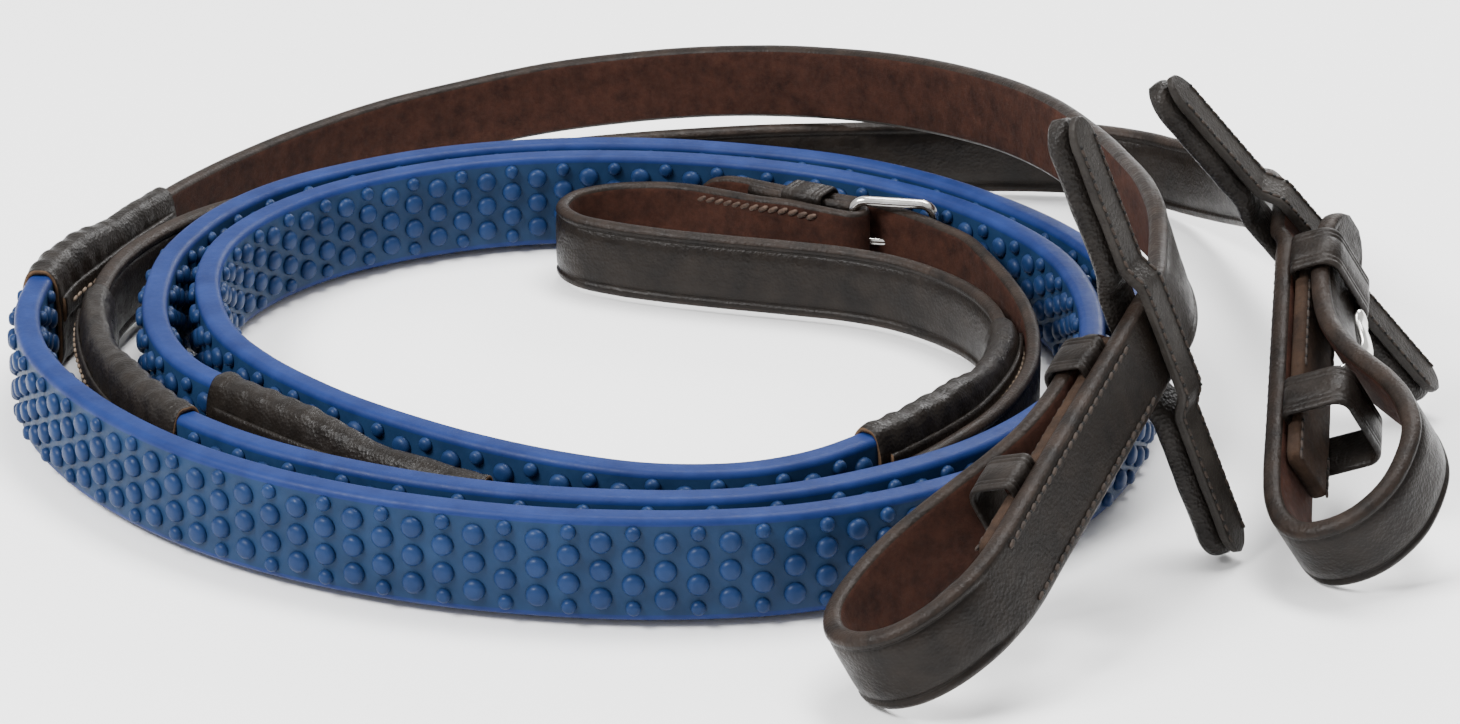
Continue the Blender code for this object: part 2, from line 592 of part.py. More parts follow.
def main():
    start()
    bpy.data.materials.new("cutter")
    havana = (0.030, 0.022, 0.018)
    leather = {
        name: material(name, havana, rough)
        for name, rough in (
            ("leather_bit_strap", 0.42), ("leather_centre", 0.40), ("leather_chape", 0.55),
            ("leather_keeper", 0.45), ("leather_sleeve", 0.38), ("leather_stop", 0.40),
            ("leather_stop_face", 0.35),
        )
    }
    rubber = material("blue_rubber", (0.025, 0.075, 0.24), 0.45)
    webbing = material("core_webbing", (0.03, 0.03, 0.035), 0.8)
    steel = material("nickel_steel", (0.72, 0.71, 0.69), 0.14, 1.0)

    bit_a = Place(BIT_A_ORIGIN, BIT_A_ALONG, BIT_A_ACROSS)
    bit_b = Place(BIT_B_ORIGIN, BIT_B_ALONG, BIT_B_ACROSS, True)
    centre = Place(CENTRE_HINGE, CENTRE_ALONG, UP, True)

    settle_a = [(-0.45, -0.10, 0.886), (-0.30, -0.05, 0.95), (-0.16, 0.0, 0.98), (-0.06, 0.0, 1.0)]
    settle_b = [
        STOP_B_BAR, STOP_B_BAR, (-0.56, -0.16, 0.81), (-0.40, -0.10, 0.90),
        (-0.22, -0.05, 0.97), (-0.08, 0.0, 1.0),
    ]
    lean = math.radians(STOP_A_SKEW)
    bar_a = math.cos(lean) * bit_a.across + math.sin(lean) * bit_a.along
    halves = (
        ("front", bit_a, LOOP_A, ROUTE_A, settle_a, GRIP_A, bar_a, 1, (0.046, 0.010)),
        ("right", bit_b, LOOP_B, ROUTE_B, settle_b, GRIP_B, STOP_B_BAR, -1, (0.052, 0.020)),
    )
    for prefix, place, loop, route, settle, grip, bar, pad_side, bit_cover in halves:
        rows = upright(route)
        for i, lean in enumerate(settle):
            rows[i] = (*rows[i][:3], *lean)
        grip_stations = smooth(upright(grip), 9.0, 0.0160)
        bit = bit_rows(place, loop)
        if prefix == "right":
            bit += [(*place.point(u, 0.0), *STOP_B_BAR) for u in (0.0585, 0.0645)]
        joined = smooth(bit + rows + upright(grip)[:1])
        strap = between(joined, 0.0, distances(joined)[-1] - 0.0012)
        strap = dense_end(strap, True)
        strap_obj = band(
            f"{prefix}_bit_strap", strap, tip_widths(strap, STRAP_WIDTH, True), STRAP_THICKNESS,
            leather["leather_bit_strap"],
        )
        outer = (GRIP_WIDTH, GRIP_THICKNESS)
        tube(f"{prefix}_rubber_grip", grip_stations, outer, GRIP_SLOT, rubber)
        band(f"{prefix}_grip_core", grip_stations, CORE_WIDTH, CORE_THICKNESS, webbing, 4)
        chape(prefix, place, STOPS[prefix] - 0.0066, leather["leather_chape"])
        for label, (at, high) in KEEPERS[prefix].items():
            name = f"{prefix}_{label}_keeper"
            keeper(name, place, at, 0.0022, high, leather["leather_keeper"])
        cut(strap_obj, hook_stud(prefix, place, steel))
        sleeve_over(
            f"{prefix}_bit_sleeve", route[-7:], grip[:5], *bit_cover, leather["leather_sleeve"]
        )
        rein_stop(
            prefix, place, bar, pad_side, leather["leather_stop"], leather["leather_stop_face"]
        )

    point_rows = [(*centre.point(u, n), *UP) for u, n in TIP]
    buckle_rows = [(*centre.point(u, n), *UP) for u, n in TURN]
    point_joined = smooth(upright(GRIP_A)[-1:] + upright(POINT_STRAP) + point_rows)
    buckle_joined = smooth(upright(GRIP_B)[-1:] + upright(BUCKLE_STRAP) + buckle_rows, 14.0)
    point = dense_end(between(point_joined, 0.0012, distances(point_joined)[-1]), False)
    turned = between(buckle_joined, 0.0012, distances(buckle_joined)[-1])
    point_obj = band(
        "centre_point_strap", point, tip_widths(point, STRAP_WIDTH, False),
        np.interp(distances(point)[-1] - distances(point), [0.0, 0.045], [0.0024, CENTRE_THICKNESS]),
        leather["leather_centre"],
    )
    left = distances(turned)[-1] - distances(turned)
    turned_obj = band(
        "centre_buckle_strap", turned, STRAP_WIDTH,
        np.interp(left, [0.0, 0.02, 0.045, 0.06], [0.0020, 0.0022, 0.0024, CENTRE_THICKNESS]),
        leather["leather_centre"],
    )
    sleeve_over(
        "front_centre_sleeve", POINT_STRAP[:8][::-1], GRIP_A[::-1][:5], 0.052, 0.013,
        leather["leather_sleeve"],
    )
    sleeve_over(
        "right_centre_sleeve", BUCKLE_STRAP[:7][::-1], GRIP_B[::-1][:5], 0.058, 0.013,
        leather["leather_sleeve"],
    )
    cut(point_obj, buckle("centre", centre, (0.0, 0.0), CENTRE_BAR, steel))
    slot = box(
        "centre_tongue_slot", centre.matrix(0.0, 0.0), (-0.0060, -0.0050, -0.0011),
        (0.0034, 0.0050, 0.0011),
    )
    cut(turned_obj, slot)
    at, low, high = CENTRE_KEEPER
    keeper("centre_keeper", centre, at, low, high, leather["leather_keeper"], 0.0007)


main()
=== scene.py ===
"""Looks for the pair of rubber-grip riding reins: leather, moulded rubber, sewing and metal.

Units are metres and +Z is up. Half rein A is the "front" one, half rein B the "right" one.
A run is a strap's middle line with its across direction, in the order of the leather.
"""

import math

import bpy
import numpy as np
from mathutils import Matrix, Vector, noise
from mathutils.bvhtree import BVHTree


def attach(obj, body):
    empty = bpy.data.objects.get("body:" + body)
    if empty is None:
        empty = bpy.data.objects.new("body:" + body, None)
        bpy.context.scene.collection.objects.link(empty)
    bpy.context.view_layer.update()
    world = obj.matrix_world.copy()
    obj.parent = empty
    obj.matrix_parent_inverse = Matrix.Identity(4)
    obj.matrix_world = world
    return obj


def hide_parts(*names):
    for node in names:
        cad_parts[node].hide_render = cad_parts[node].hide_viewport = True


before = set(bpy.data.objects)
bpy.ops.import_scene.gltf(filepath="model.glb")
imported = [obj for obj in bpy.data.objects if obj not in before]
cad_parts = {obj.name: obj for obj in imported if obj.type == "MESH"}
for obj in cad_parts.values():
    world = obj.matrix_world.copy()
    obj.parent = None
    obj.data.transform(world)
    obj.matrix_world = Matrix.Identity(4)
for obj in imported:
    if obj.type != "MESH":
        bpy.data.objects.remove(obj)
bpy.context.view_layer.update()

# ---- sizes and routes, as in the frame

STRAP_WIDTH = 0.016
STRAP_THICKNESS = 0.0038
CENTRE_THICKNESS = 0.003
GRIP_WIDTH = 0.02
GRIP_THICKNESS = 0.005
SLEEVE_WALL = 0.001
FRAME_WIRE = 0.0011
TONGUE_WIRE = 0.0007
FRAME_HALF_WIDTH = 0.00965
KEEPER_WIDTH = 0.0094
KEEPER_HALF = 0.00835
KEEPER_WALL = 0.0012
STOP_WIDTH = 0.009
STOP_REACH = 0.044
UP = (0.0, 0.0, 1.0)
ORIGIN = (0.00091, 0.00329, 0.00151)

STITCH_INSET = 0.0022
STITCH_PITCH = 0.0024
PIMPLE_PITCH = 0.0056
LARGE_PIMPLE = 0.0021
SMALL_PIMPLE = 0.00145
PIMPLE_HEIGHT = 0.0014


def metres(rows, *height):
    """Rows given in millimetres. One height can follow, for rows of (x, y)."""
    return [tuple(value / 1000 for value in (*row, *height)) for row in rows]


# Bit ends: u runs from the loop towards the rein stop, n from the rein towards its folded end.
BIT_A_ORIGIN = (0.0486, -0.1262, 0.021)
BIT_A_ALONG = (0.42, 0.85, 0.317)
BIT_A_ACROSS = (-0.452, -0.107, 0.886)
BIT_B_ORIGIN = (0.1018, -0.0678, 0.0116)
BIT_B_ALONG = (0.1177, 0.9, 0.42)
BIT_B_ACROSS = (-0.475, -0.3205, 0.8197)

# The part of both folded ends that lies along the rein.
FOLD = [
    (56, 8.2), (50, 7.7), (45, 7.5), (41.3, 7.7), (37, 8.2), (33.2, 9), (30, 10.1), (27, 11.6),
]
LOOP_A = metres([
    (62.5, 9), *FOLD, (23, 13.9), (19, 16.5), (15, 19), (10, 22), (5, 24.5), (-1, 26.6),
    (-9, 27.9), (-15, 27.4), (-20.4, 24), (-23, 18.4), (-22.4, 12.4), (-19, 7.4), (-13, 3.2),
    (-6.5, 0.9), (0, 0), (10, 0), (24, 0), (38, 0), (52, 0), (64.6, 0), (73, 0),
])
LOOP_B = metres([
    (62.5, 9.2), *FOLD, (22.6, 14.2), (17.5, 18.1), (12.5, 21.9), (6, 25.3), (-1, 26.8),
    (-8.4, 25.2), (-13.9, 22.2), (-18.3, 16.7), (-19.7, 11), (-18.7, 5.8), (-15, 2.4), (-10, 0.6),
    (-4, 0), (10, 0), (24, 0), (38, 0), (50, 0), (55.5, 0),
])

# Routes of the strap middles as (x, y, z), in the order of the leather from bit end to centre.
# The grips stand on the floor, so one height does for each.
ROUTE_A = metres([
    (80.8, -52.8, 45.3), (80.8, -39.5, 46.6), (79.2, -22.3, 45.7), (76.4, -3.4, 43.3),
    (71.4, 24.8, 39.6), (65.1, 49.2, 36.6), (56.3, 71.2, 33.3), (44.9, 89.9, 30.1),
    (33, 103.9, 27.4), (22, 113.5, 25.2), (9, 121.5, 23), (-6, 128, 20.5), (-22, 132, 17.8),
    (-40, 133, 15), (-58, 129, 12.5), (-75, 120.5, 11), (-91, 107, 10), (-104, 91.5, 9.5),
    (-114, 75, 9.5), (-122, 57, 9.8), (-129.5, 38, 10),
])
GRIP_A = metres([
    (-134.8, 23), (-136.2, 14), (-136.8, 0), (-135.5, -11), (-132.5, -22), (-127.8, -32.5),
    (-121.5, -43.2), (-114, -53.4), (-101.8, -66.6), (-88.8, -76.8), (-75, -85), (-60, -91.5),
    (-41, -96.7), (-23, -99.4), (-5, -99.5), (12, -97), (28, -91), (45, -80.5), (61, -64.5),
    (72.5, -44), (78.5, -20), (79, 2), (75.3, 22.2), (67, 41), (55, 57), (39.6, 71.8), (22.5, 82),
    (4, 88.2), (-16, 91.8), (-38, 91.7), (-60, 86.8), (-79, 77.3), (-95, 64.3), (-105.5, 48),
    (-111.5, 29), (-112.8, 12), (-111.8, -3), (-108.5, -17), (-102.5, -30), (-95, -39), (-86, -48),
], 10.0)
POINT_STRAP = metres([
    (-76, -57, 9.8), (-65, -65.8, 9.2), (-55, -72.2, 8.5), (-45, -77.3, 8), (-35, -81, 8),
    (-25, -83.8, 8), (-12, -85.9, 8), (2, -85.6, 8), (14, -81.8, 8), (25, -74.8, 8),
    (34, -65.8, 8), (41.5, -56, 8), (48.5, -45, 8), (54, -33, 8.2), (57.5, -21, 8.5),
    (58.7, -8, 9), (57.8, 6, 9.6), (54.8, 19, 10.2), (51.2, 30.5, 10.6), (48, 39, 10.8),
])
ROUTE_B = metres([
    (109.8, -5, 38.8), (109.7, 8, 37.2), (109.2, 25, 31.4), (108.4, 42, 26.2), (107, 58, 21.1),
    (104.8, 73, 16.4), (101.5, 86, 12.6), (97.3, 97, 9.7), (90, 106.5, 8.4), (80, 112, 8.1),
    (66, 114.2, 8), (48, 114.5, 8), (28, 113.8, 8), (7, 112.2, 8), (-24, 106.5, 8), (-50, 98.5, 8),
    (-72, 89.3, 8), (-89, 79, 8), (-102, 67.5, 8.3), (-111, 57, 8.8), (-117.5, 45.5, 9.3),
    (-122, 33, 9.7), (-124.3, 20, 10), (-124.3, 5, 10), (-122, -10, 10), (-118, -24, 10),
])
GRIP_B = metres([
    (-111.2, -38.8), (-103.5, -51), (-95, -60), (-83.5, -69), (-69.8, -76.8), (-55, -83.2),
    (-38, -88.2), (-20, -90.8), (-3, -90.7), (12, -87.6), (27.5, -80.2), (43.5, -68.8),
    (57.2, -52.2), (66.3, -33), (69.8, -12), (69.5, 7), (65.8, 25), (57.5, 41.7), (44.9, 57.1),
    (30, 68.3), (12.5, 77), (-8, 82.5), (-28, 84.3), (-48, 82), (-66.5, 75.2), (-83, 64),
    (-94.8, 50), (-101.8, 34), (-103.5, 18), (-101.8, 3), (-96.8, -14), (-88.4, -28.5), (-77, -42),
    (-63, -54.5), (-46, -66.2), (-30, -74.5), (-14, -79.2), (2, -79), (14, -74.2), (24.5, -65.7),
    (33.5, -55.5),
], 10.0)
BUCKLE_STRAP = metres([
    (41.5, -44, 9.8), (47.5, -31, 9.3), (51.5, -17, 8.6), (53, -4, 8.2), (51.8, 8, 8),
    (47.8, 18.5, 8), (41, 27.5, 8), (33, 34.3, 8), (24, 38.8, 8), (12, 42.4, 8), (-2, 46, 8),
    (-14, 49.5, 8), (-24, 53.4, 8), (-31.5, 58, 8), (-34.8, 64.5, 8), (-32.5, 71.2, 8),
    (-26, 75.3, 8.1), (-17, 75.7, 8.5), (-8.8, 72.8, 9.1), (-1.4, 67.9, 9.7), (6.2, 62.5, 10.3),
])

CENTRE_HINGE = (0.0252, 0.0546, 0.0108)
CENTRE_ALONG = (-0.87, 0.49, 0.0)
CENTRE_BAR = (-0.016, 0.0056)
TURN = metres([
    (13, -2.3), (9, -2.5), (5, -2.6), (1, -2.6), (-1.5, -2.1), (-2.6, 0), (-1.5, 2.1), (1, 2.6),
    (5, 2.1), (10, 1.3), (15, 1.1), (20, 1.3), (25, 1.7),
])
TIP = metres([
    (-20, 0.8), (-14.8, 2.8), (-10, 4.2), (-5, 5.2), (0, 5.7), (5, 5.5), (10, 4.9), (15, 4.5),
    (21, 4.4), (27, 4.6), (33, 4.6), (39, 4.6),
])
CENTRE_KEEPER = (0.0118, -0.0009, 0.007)
STOPS = {"front": 0.0646, "right": 0.062}
STOP_A_SKEW = 11.0
STOP_B_BAR = (-0.63, -0.12, 0.767)
KEEPERS = {
    "front": {"upper": (0.05, 0.0104), "lower": (0.017, 0.011)},
    "right": {"upper": (0.049, 0.0104), "lower": (0.0125, 0.014)},
}
HOOK = metres([
    (39.8, 3.7), (28, 3.7), (25.6, 3.9), (24.3, 4.9), (23.8, 6.6), (23.9, 9), (24.4, 11.2),
    (25.7, 13.4), (28, 14.5), (31, 14.1), (34.5, 13.2), (38.2, 13.4),
])
SLEEVE_END_SIZE = (0.019, 0.0074)
SLEEVE_MOUTH_SIZE = (0.0228, 0.008)

ROOT = "coiled_reins"


# ---- camera, light and floor

LENS = 115.9
SENSOR = 36.0
CAMERA_PLACE = (0.0, -0.85, 0.362)
CAMERA_TILT = 67.34
SKY_STRENGTH = 0.9
FLOOR_HALF = 4.0
FLOOR_WHITE = 0.97
LIT_POINT = (0.0, 0.0, 0.02)
# Name, place, size and power of each softbox.
SOFTBOXES = (
    ("softbox_left", (-0.7, -0.5, 0.9), (0.5, 0.35), 26.0),
    ("softbox_top", (0.2, 0.2, 1.1), (0.7, 0.4), 20.0),
    ("softbox_back", (0.5, 0.9, 0.5), (0.6, 0.3), 7.0),
)


def placed(name, data):
    obj = bpy.data.objects.new(name, data)
    bpy.context.scene.collection.objects.link(obj)
    return obj


def set_inputs(node, values):
    for name, value in values.items():
        node.inputs[name].default_value = value
    return node


def camera():
    data = bpy.data.cameras.new("view")
    data.lens = LENS
    data.sensor_width = SENSOR
    obj = placed("view", data)
    obj.location = [a + b for a, b in zip(CAMERA_PLACE, ORIGIN)]
    obj.rotation_euler = (math.radians(CAMERA_TILT), 0.0, 0.0)
    bpy.context.scene.camera = obj


def studio():
    world = bpy.data.worlds.new("studio")
    bpy.context.scene.world = world
    world.use_nodes = True
    sky = {"Color": (1, 1, 1, 1), "Strength": SKY_STRENGTH}
    set_inputs(world.node_tree.nodes["Background"], sky)
    for name, place, size, power in SOFTBOXES:
        data = bpy.data.lights.new(name, "AREA")
        data.shape = "RECTANGLE"
        data.size, data.size_y = size
        data.energy = power
        light = placed(name, data)
        light.location = place
        toward = Vector(LIT_POINT) - Vector(place)
        light.rotation_euler = toward.to_track_quat("-Z", "Y").to_euler()
    mesh = bpy.data.meshes.new("floor")
    corners = [(-1, -1), (1, -1), (1, 1), (-1, 1)]
    mesh.from_pydata([(x * FLOOR_HALF, y * FLOOR_HALF, 0) for x, y in corners], [], [(0, 1, 2, 3)])
    floor = placed("floor", mesh)
    paper = bpy.data.materials.new("paper")
    paper.use_nodes = True
    set_inputs(paper.node_tree.nodes["Principled BSDF"], {
        "Base Color": (*[FLOOR_WHITE] * 3, 1.0), "Roughness": 0.8, "Specular IOR Level": 0.1,
    })
    mesh.materials.append(paper)


# ---- materials

class Look:
    """A Principled material under construction, with short calls for the usual nodes."""

    def __init__(self, name, roughness, metallic=0.0, specular=0.5):
        self.made = bpy.data.materials.new(name)
        self.made.use_nodes = True
        self.tree = self.made.node_tree
        self.link = self.tree.links.new
        self.shader = set_inputs(self.tree.nodes["Principled BSDF"], {
            "Metallic": metallic, "Roughness": roughness, "Specular IOR Level": specular,
        })
        self.coords = self.tree.nodes.new("ShaderNodeTexCoord").outputs["Object"]
        self.normal = None

    def node(self, kind, source, socket, values):
        """A new node with these values, which reads source in one socket."""
        node = set_inputs(self.tree.nodes.new("ShaderNode" + kind), values)
        self.link(source, node.inputs[socket])
        return node

    def noise(self, scale, detail=4.0, roughness=0.6):
        values = {"Scale": scale, "Detail": detail, "Roughness": roughness}
        return self.node("TexNoise", self.coords, "Vector", values).outputs["Fac"]

    def cells(self, scale):
        return self.node("TexVoronoi", self.coords, "Vector", {"Scale": scale}).outputs["Distance"]

    def colour(self, source, *stops):
        node = self.node("ValToRGB", source, "Fac", {})
        for element, (at, colour) in zip(node.color_ramp.elements, stops):
            element.position = at
            element.color = (*colour, 1.0)
        self.link(node.outputs["Color"], self.shader.inputs["Base Color"])

    def rough(self, source, low, high):
        values = {"From Min": 0.3, "From Max": 0.7, "To Min": low, "To Max": high}
        node = self.node("MapRange", source, "Value", values)
        self.link(node.outputs["Result"], self.shader.inputs["Roughness"])

    def bump(self, source, distance):
        node = self.node("Bump", source, "Height", {"Distance": distance, "Strength": 1.0})
        if self.normal:
            self.link(self.normal, node.inputs["Normal"])
        self.normal = node.outputs["Normal"]
        self.link(self.normal, self.shader.inputs["Normal"])


def grain_leather(name, dark, light, low=0.28, high=0.46, pebble=0.00007):
    """Finished leather: fine pores, shallow wrinkles and patches where the dye is thinner."""
    look = Look(name, low, specular=0.14)
    look.colour(look.noise(170, 5), (0.3, dark), (0.72, light))
    look.rough(look.noise(420, 3), low, high)
    look.bump(look.cells(1500), pebble)
    look.bump(look.noise(520, 6, 0.7), 0.00018)
    return look.made


def suede(name, dark, light):
    """The flesh side or a raw cut: dull and fibrous."""
    look = Look(name, 0.85, specular=0.12)
    look.colour(look.noise(260, 8, 0.75), (0.3, dark), (0.7, light))
    look.rough(look.noise(900, 2), 0.72, 0.92)
    look.bump(look.noise(2600, 4, 0.8), 0.00016)
    look.bump(look.noise(420, 6, 0.7), 0.0002)
    return look.made


def rubber(name, dark, light, low=0.4, high=0.55):
    look = Look(name, low, specular=0.13)
    look.colour(look.noise(120, 5), (0.32, dark), (0.7, light))
    look.rough(look.noise(700, 4), low, high)
    look.bump(look.noise(3200, 3, 0.6), 0.00003)
    look.bump(look.noise(500, 4, 0.5), 0.00006)
    return look.made


def metal(name, dark, light):
    look = Look(name, 0.16, metallic=1.0)
    look.colour(look.noise(300, 4), (0.35, dark), (0.65, light))
    look.rough(look.noise(1400, 5, 0.7), 0.1, 0.26)
    look.bump(look.noise(900, 4), 0.00002)
    return look.made


def twine(name, dark, light):
    look = Look(name, 0.7, specular=0.3)
    look.colour(look.noise(900, 3), (0.3, dark), (0.7, light))
    look.bump(look.noise(5000, 2), 0.00008)
    look.rough(look.noise(2500, 2), 0.6, 0.8)
    return look.made


HAVANA = (0.0042, 0.0031, 0.0025)
# Each material: kind, name, dark and light colour, then low and high roughness and pore depth.
MATERIALS = {
    "grain": (grain_leather, "grain_side", HAVANA, (0.0125, 0.009, 0.0068)),
    "edge": (grain_leather, "burnished_edge",
             (0.006, 0.0044, 0.0036), (0.023, 0.015, 0.011), 0.36, 0.55),
    "flesh": (suede, "flesh_side", (0.012, 0.0046, 0.0034), (0.048, 0.018, 0.011)),
    "hair": (suede, "raw_strip", (0.012, 0.0075, 0.0055), (0.042, 0.024, 0.015)),
    "keeper": (grain_leather, "keeper_leather", HAVANA, (0.019, 0.015, 0.0125), 0.32, 0.48),
    "sleeve": (grain_leather, "sleeve_leather",
               (0.0056, 0.0045, 0.0039), (0.015, 0.012, 0.01), 0.26, 0.44, 0.0001),
    "raw": (suede, "raw_sleeve_edge", (0.04, 0.023, 0.014), (0.15, 0.09, 0.052)),
    "pad": (grain_leather, "stop_pad",
            (0.0062, 0.005, 0.0043), (0.018, 0.015, 0.013), 0.32, 0.48, 0.00018),
    "face": (grain_leather, "stop_face",
             (0.011, 0.0092, 0.008), (0.027, 0.0235, 0.0205), 0.34, 0.48),
    "thread": (twine, "dark_thread", (0.0095, 0.0062, 0.0046), (0.036, 0.024, 0.017)),
    "tan_thread": (twine, "tan_thread", (0.09, 0.062, 0.042), (0.26, 0.195, 0.14)),
    "brown_thread": (twine, "brown_thread", (0.02, 0.0115, 0.008), (0.085, 0.052, 0.036)),
    # Near-black dots between the stitches: painted shade standing in for the inside of the awl
    # holes.
    "hole": (twine, "awl_hole", (0.0012, 0.001, 0.0009), (0.003, 0.0025, 0.002)),
    "rubber_face": (rubber, "rubber_face", (0.005, 0.0185, 0.05), (0.0098, 0.03, 0.076)),
    "rubber_edge": (rubber, "rubber_edge", (0.0055, 0.0155, 0.076), (0.0105, 0.0265, 0.115)),
    "pimple": (rubber, "rubber_pimple",
               (0.0052, 0.0172, 0.058), (0.01, 0.028, 0.086), 0.34, 0.46),
    "web": (twine, "core_weave", (0.008, 0.008, 0.009), (0.025, 0.025, 0.028)),
    "nickel": (metal, "nickel_plate", (0.62, 0.6, 0.57), (0.78, 0.77, 0.74)),
}


# ---- runs and sweeps

SPAN_POINTS = 40


def unit(vector):
    vector = np.asarray(vector, float)
    return vector / np.linalg.norm(vector)


class Place:
    """A local frame: u along, n off the face, w across. Points in it are (u, n, w)."""

    def __init__(self, origin, along, across, flip=False):
        self.origin = np.array(origin, float) + np.array(ORIGIN)
        self.along = unit(along)
        across = np.array(across, float)
        self.across = unit(across - across @ self.along * self.along)
        self.off = np.cross(self.across, self.along) * (-1 if flip else 1)

    def point(self, u, n, w=0.0):
        return self.origin + u * self.along + n * self.off + w * self.across

    def rows(self, route, across=None):
        """Rows of a run through the points (u, n), with the same across direction for all."""
        across = self.across if across is None else across
        return [(*self.point(u, n), *across) for u, n in route]


def distances(points):
    """How far each point is from the first one, along them all."""
    steps = np.linalg.norm(np.diff(points, axis=0), axis=1)
    return np.concatenate([[0.0], np.cumsum(steps)])


def columns_at(wanted, gone, table):
    return np.stack([np.interp(wanted, gone, column) for column in table.T], axis=1)


def smooth_curve(rows, step):
    """Stations at an even step along a centripetal Catmull-Rom curve through the rows."""
    rows = np.array(rows, float)
    knots = np.linalg.norm(np.diff(rows[:, :3], axis=0), axis=1) ** 0.5
    knots = np.concatenate([[0.0], np.cumsum(knots)])
    rows = np.vstack([2 * rows[0] - rows[1], rows, 2 * rows[-1] - rows[-2]])
    knots = np.concatenate([[2 * knots[0] - knots[1]], knots, [2 * knots[-1] - knots[-2]]])
    fine = []
    for i in range(1, len(rows) - 2):
        at = np.linspace(knots[i], knots[i + 1], SPAN_POINTS, endpoint=False)[:, None]
        times = knots[i - 1 : i + 3]
        level = [rows[i - 1 + j] for j in range(4)]
        for depth in (1, 2, 3):
            lows = times[1:2] if depth == 3 else times[: 4 - depth]
            highs = times[2:3] if depth == 3 else times[depth:]
            level = [
                ((highs[j] - at) * level[j] + (at - lows[j]) * level[j + 1])
                / (highs[j] - lows[j])
                for j in range(len(lows))
            ]
        fine.append(level[0])
    fine = np.vstack(fine + [rows[-2]])
    gone = distances(fine[:, :3])
    count = max(3, int(round(gone[-1] / step)) + 1)
    return columns_at(np.linspace(0.0, gone[-1], count), gone, fine)


class Run:
    """Stations with their along, across and off directions and the distance gone."""

    def __init__(self, stations, closed=False):
        self.rows = np.asarray(stations, float)
        self.points = self.rows[:, :3]
        if closed:
            along = np.roll(self.points, -1, axis=0) - np.roll(self.points, 1, axis=0)
        else:
            along = np.gradient(self.points, axis=0)
        self.along = along / np.linalg.norm(along, axis=1)[:, None]
        across = self.rows[:, 3:6]
        across = across - (across * self.along).sum(axis=1)[:, None] * self.along
        self.across = across / np.linalg.norm(across, axis=1)[:, None]
        self.off = np.cross(self.along, self.across)
        self.gone = distances(self.points)
        self.length = self.gone[-1]

    def part(self, first, last):
        count = max(3, int(round((last - first) / (self.length / (len(self.rows) - 1)))) + 1)
        return Run(columns_at(np.linspace(first, last, count), self.gone, self.rows))

    def at(self, s):
        """Point, along, across and off at one distance."""
        point, *directions = [
            np.array([np.interp(s, self.gone, column) for column in table.T])
            for table in (self.points, self.along, self.across, self.off)
        ]
        return point, *(unit(direction) for direction in directions)

    def carry(self, rings):
        """Where the points (across, off) of one ring for each station lie."""
        points, across, off = (table[:, None, :] for table in (self.points, self.across, self.off))
        return points + rings[:, :, :1] * across + rings[:, :, 1:] * off


def upright(rows):
    return [(x + ORIGIN[0], y + ORIGIN[1], z + ORIGIN[2], *UP) for x, y, z in rows]


def mesh_object(name, verts, faces, looks, indices=None, smooth=True):
    mesh = bpy.data.meshes.new(name)
    mesh.from_pydata(np.asarray(verts, float).reshape(-1, 3).tolist(), [], faces)
    for look in looks:
        mesh.materials.append(look)
    if indices is not None:
        mesh.polygons.foreach_set("material_index", indices)
    mesh.polygons.foreach_set("use_smooth", [smooth] * len(mesh.polygons))
    mesh.update()
    return placed(name, mesh)


def grid_faces(count, size, first=0, closed=False, inward=False):
    faces = []
    for i in range(count if closed else count - 1):
        this, that = first + i * size, first + (i + 1) % count * size
        for j in range(size):
            k = (j + 1) % size
            face = (this + j, this + k, that + k, that + j)
            faces.append(face[::-1] if inward else face)
    return faces


def sweep(name, run, rings, looks, sides=None, closed=False, cap_look=0):
    """Carries rings along a run: an array of stations by points by (across, off). sides gives a
    look index for each ring edge, 0 where it is left out."""
    count, size = rings.shape[:2]
    faces = grid_faces(count, size, closed=closed)
    indices = (sides or [0] * size) * (count if closed else count - 1)
    if not closed:
        faces.append(tuple(range(size))[::-1])
        faces.append(tuple(range((count - 1) * size, count * size)))
        indices += [cap_look, cap_look]
    return mesh_object(name, run.carry(rings), faces, looks, indices)


def shown(obj, slot, *nodes, body=ROOT):
    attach(obj, body)
    if nodes:
        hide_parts(*nodes)


def ease_between(at, start, length):
    """0 up to start, 1 after a stretch of this length, and a smooth step along it."""
    share = np.clip((at - start) / length, 0, 1)
    return share * share * (3 - 2 * share)


def arc(a, b, radius, first, count, turn=90):
    """Points round (a, b), from the angle first on, in degrees."""
    angles = np.radians(np.linspace(first, first + turn, count))
    return [(a + radius * math.cos(angle), b + radius * math.sin(angle)) for angle in angles]


def filled(path, step):
    """A closed path of (a, b) with points added, so that none are much further apart than step."""
    fine = []
    for (a0, b0), (a1, b1) in zip(path, path[1:] + path[:1]):
        count = max(1, int(math.hypot(a1 - a0, b1 - b0) / step))
        fine += [(a0 + (a1 - a0) * k / count, b0 + (b1 - b0) * k / count) for k in range(count)]
    return fine


def round_box(a0, a1, b0, b1, radius, count, low_radius=None):
    """A ring round the box from (a0, b0) to (a1, b1), the way that grid_faces expects for outward
    faces. Its lower corners can have a radius of their own."""
    low = low_radius or radius
    return (
        arc(a1 - radius, b1 - radius, radius, 0, count)
        + arc(a0 + radius, b1 - radius, radius, 90, count)
        + arc(a0 + low, b0 + low, low, 180, count)
        + arc(a1 - low, b0 + low, low, 270, count)
    )


def round_rect(width, thickness, radius, count):
    w, t = width / 2, thickness / 2
    return np.array(round_box(-w, w, -t, t, radius, count))


def super_ring(width, thickness, power, count):
    """A ring between an ellipse (power 2) and a rectangle (high powers)."""
    angles = np.linspace(0.0, math.tau, count, endpoint=False)
    c, s = np.cos(angles), np.sin(angles)
    return np.stack([
        width / 2 * np.sign(c) * np.abs(c) ** (2 / power),
        thickness / 2 * np.sign(s) * np.abs(s) ** (2 / power),
    ], axis=1)


# ---- leather straps

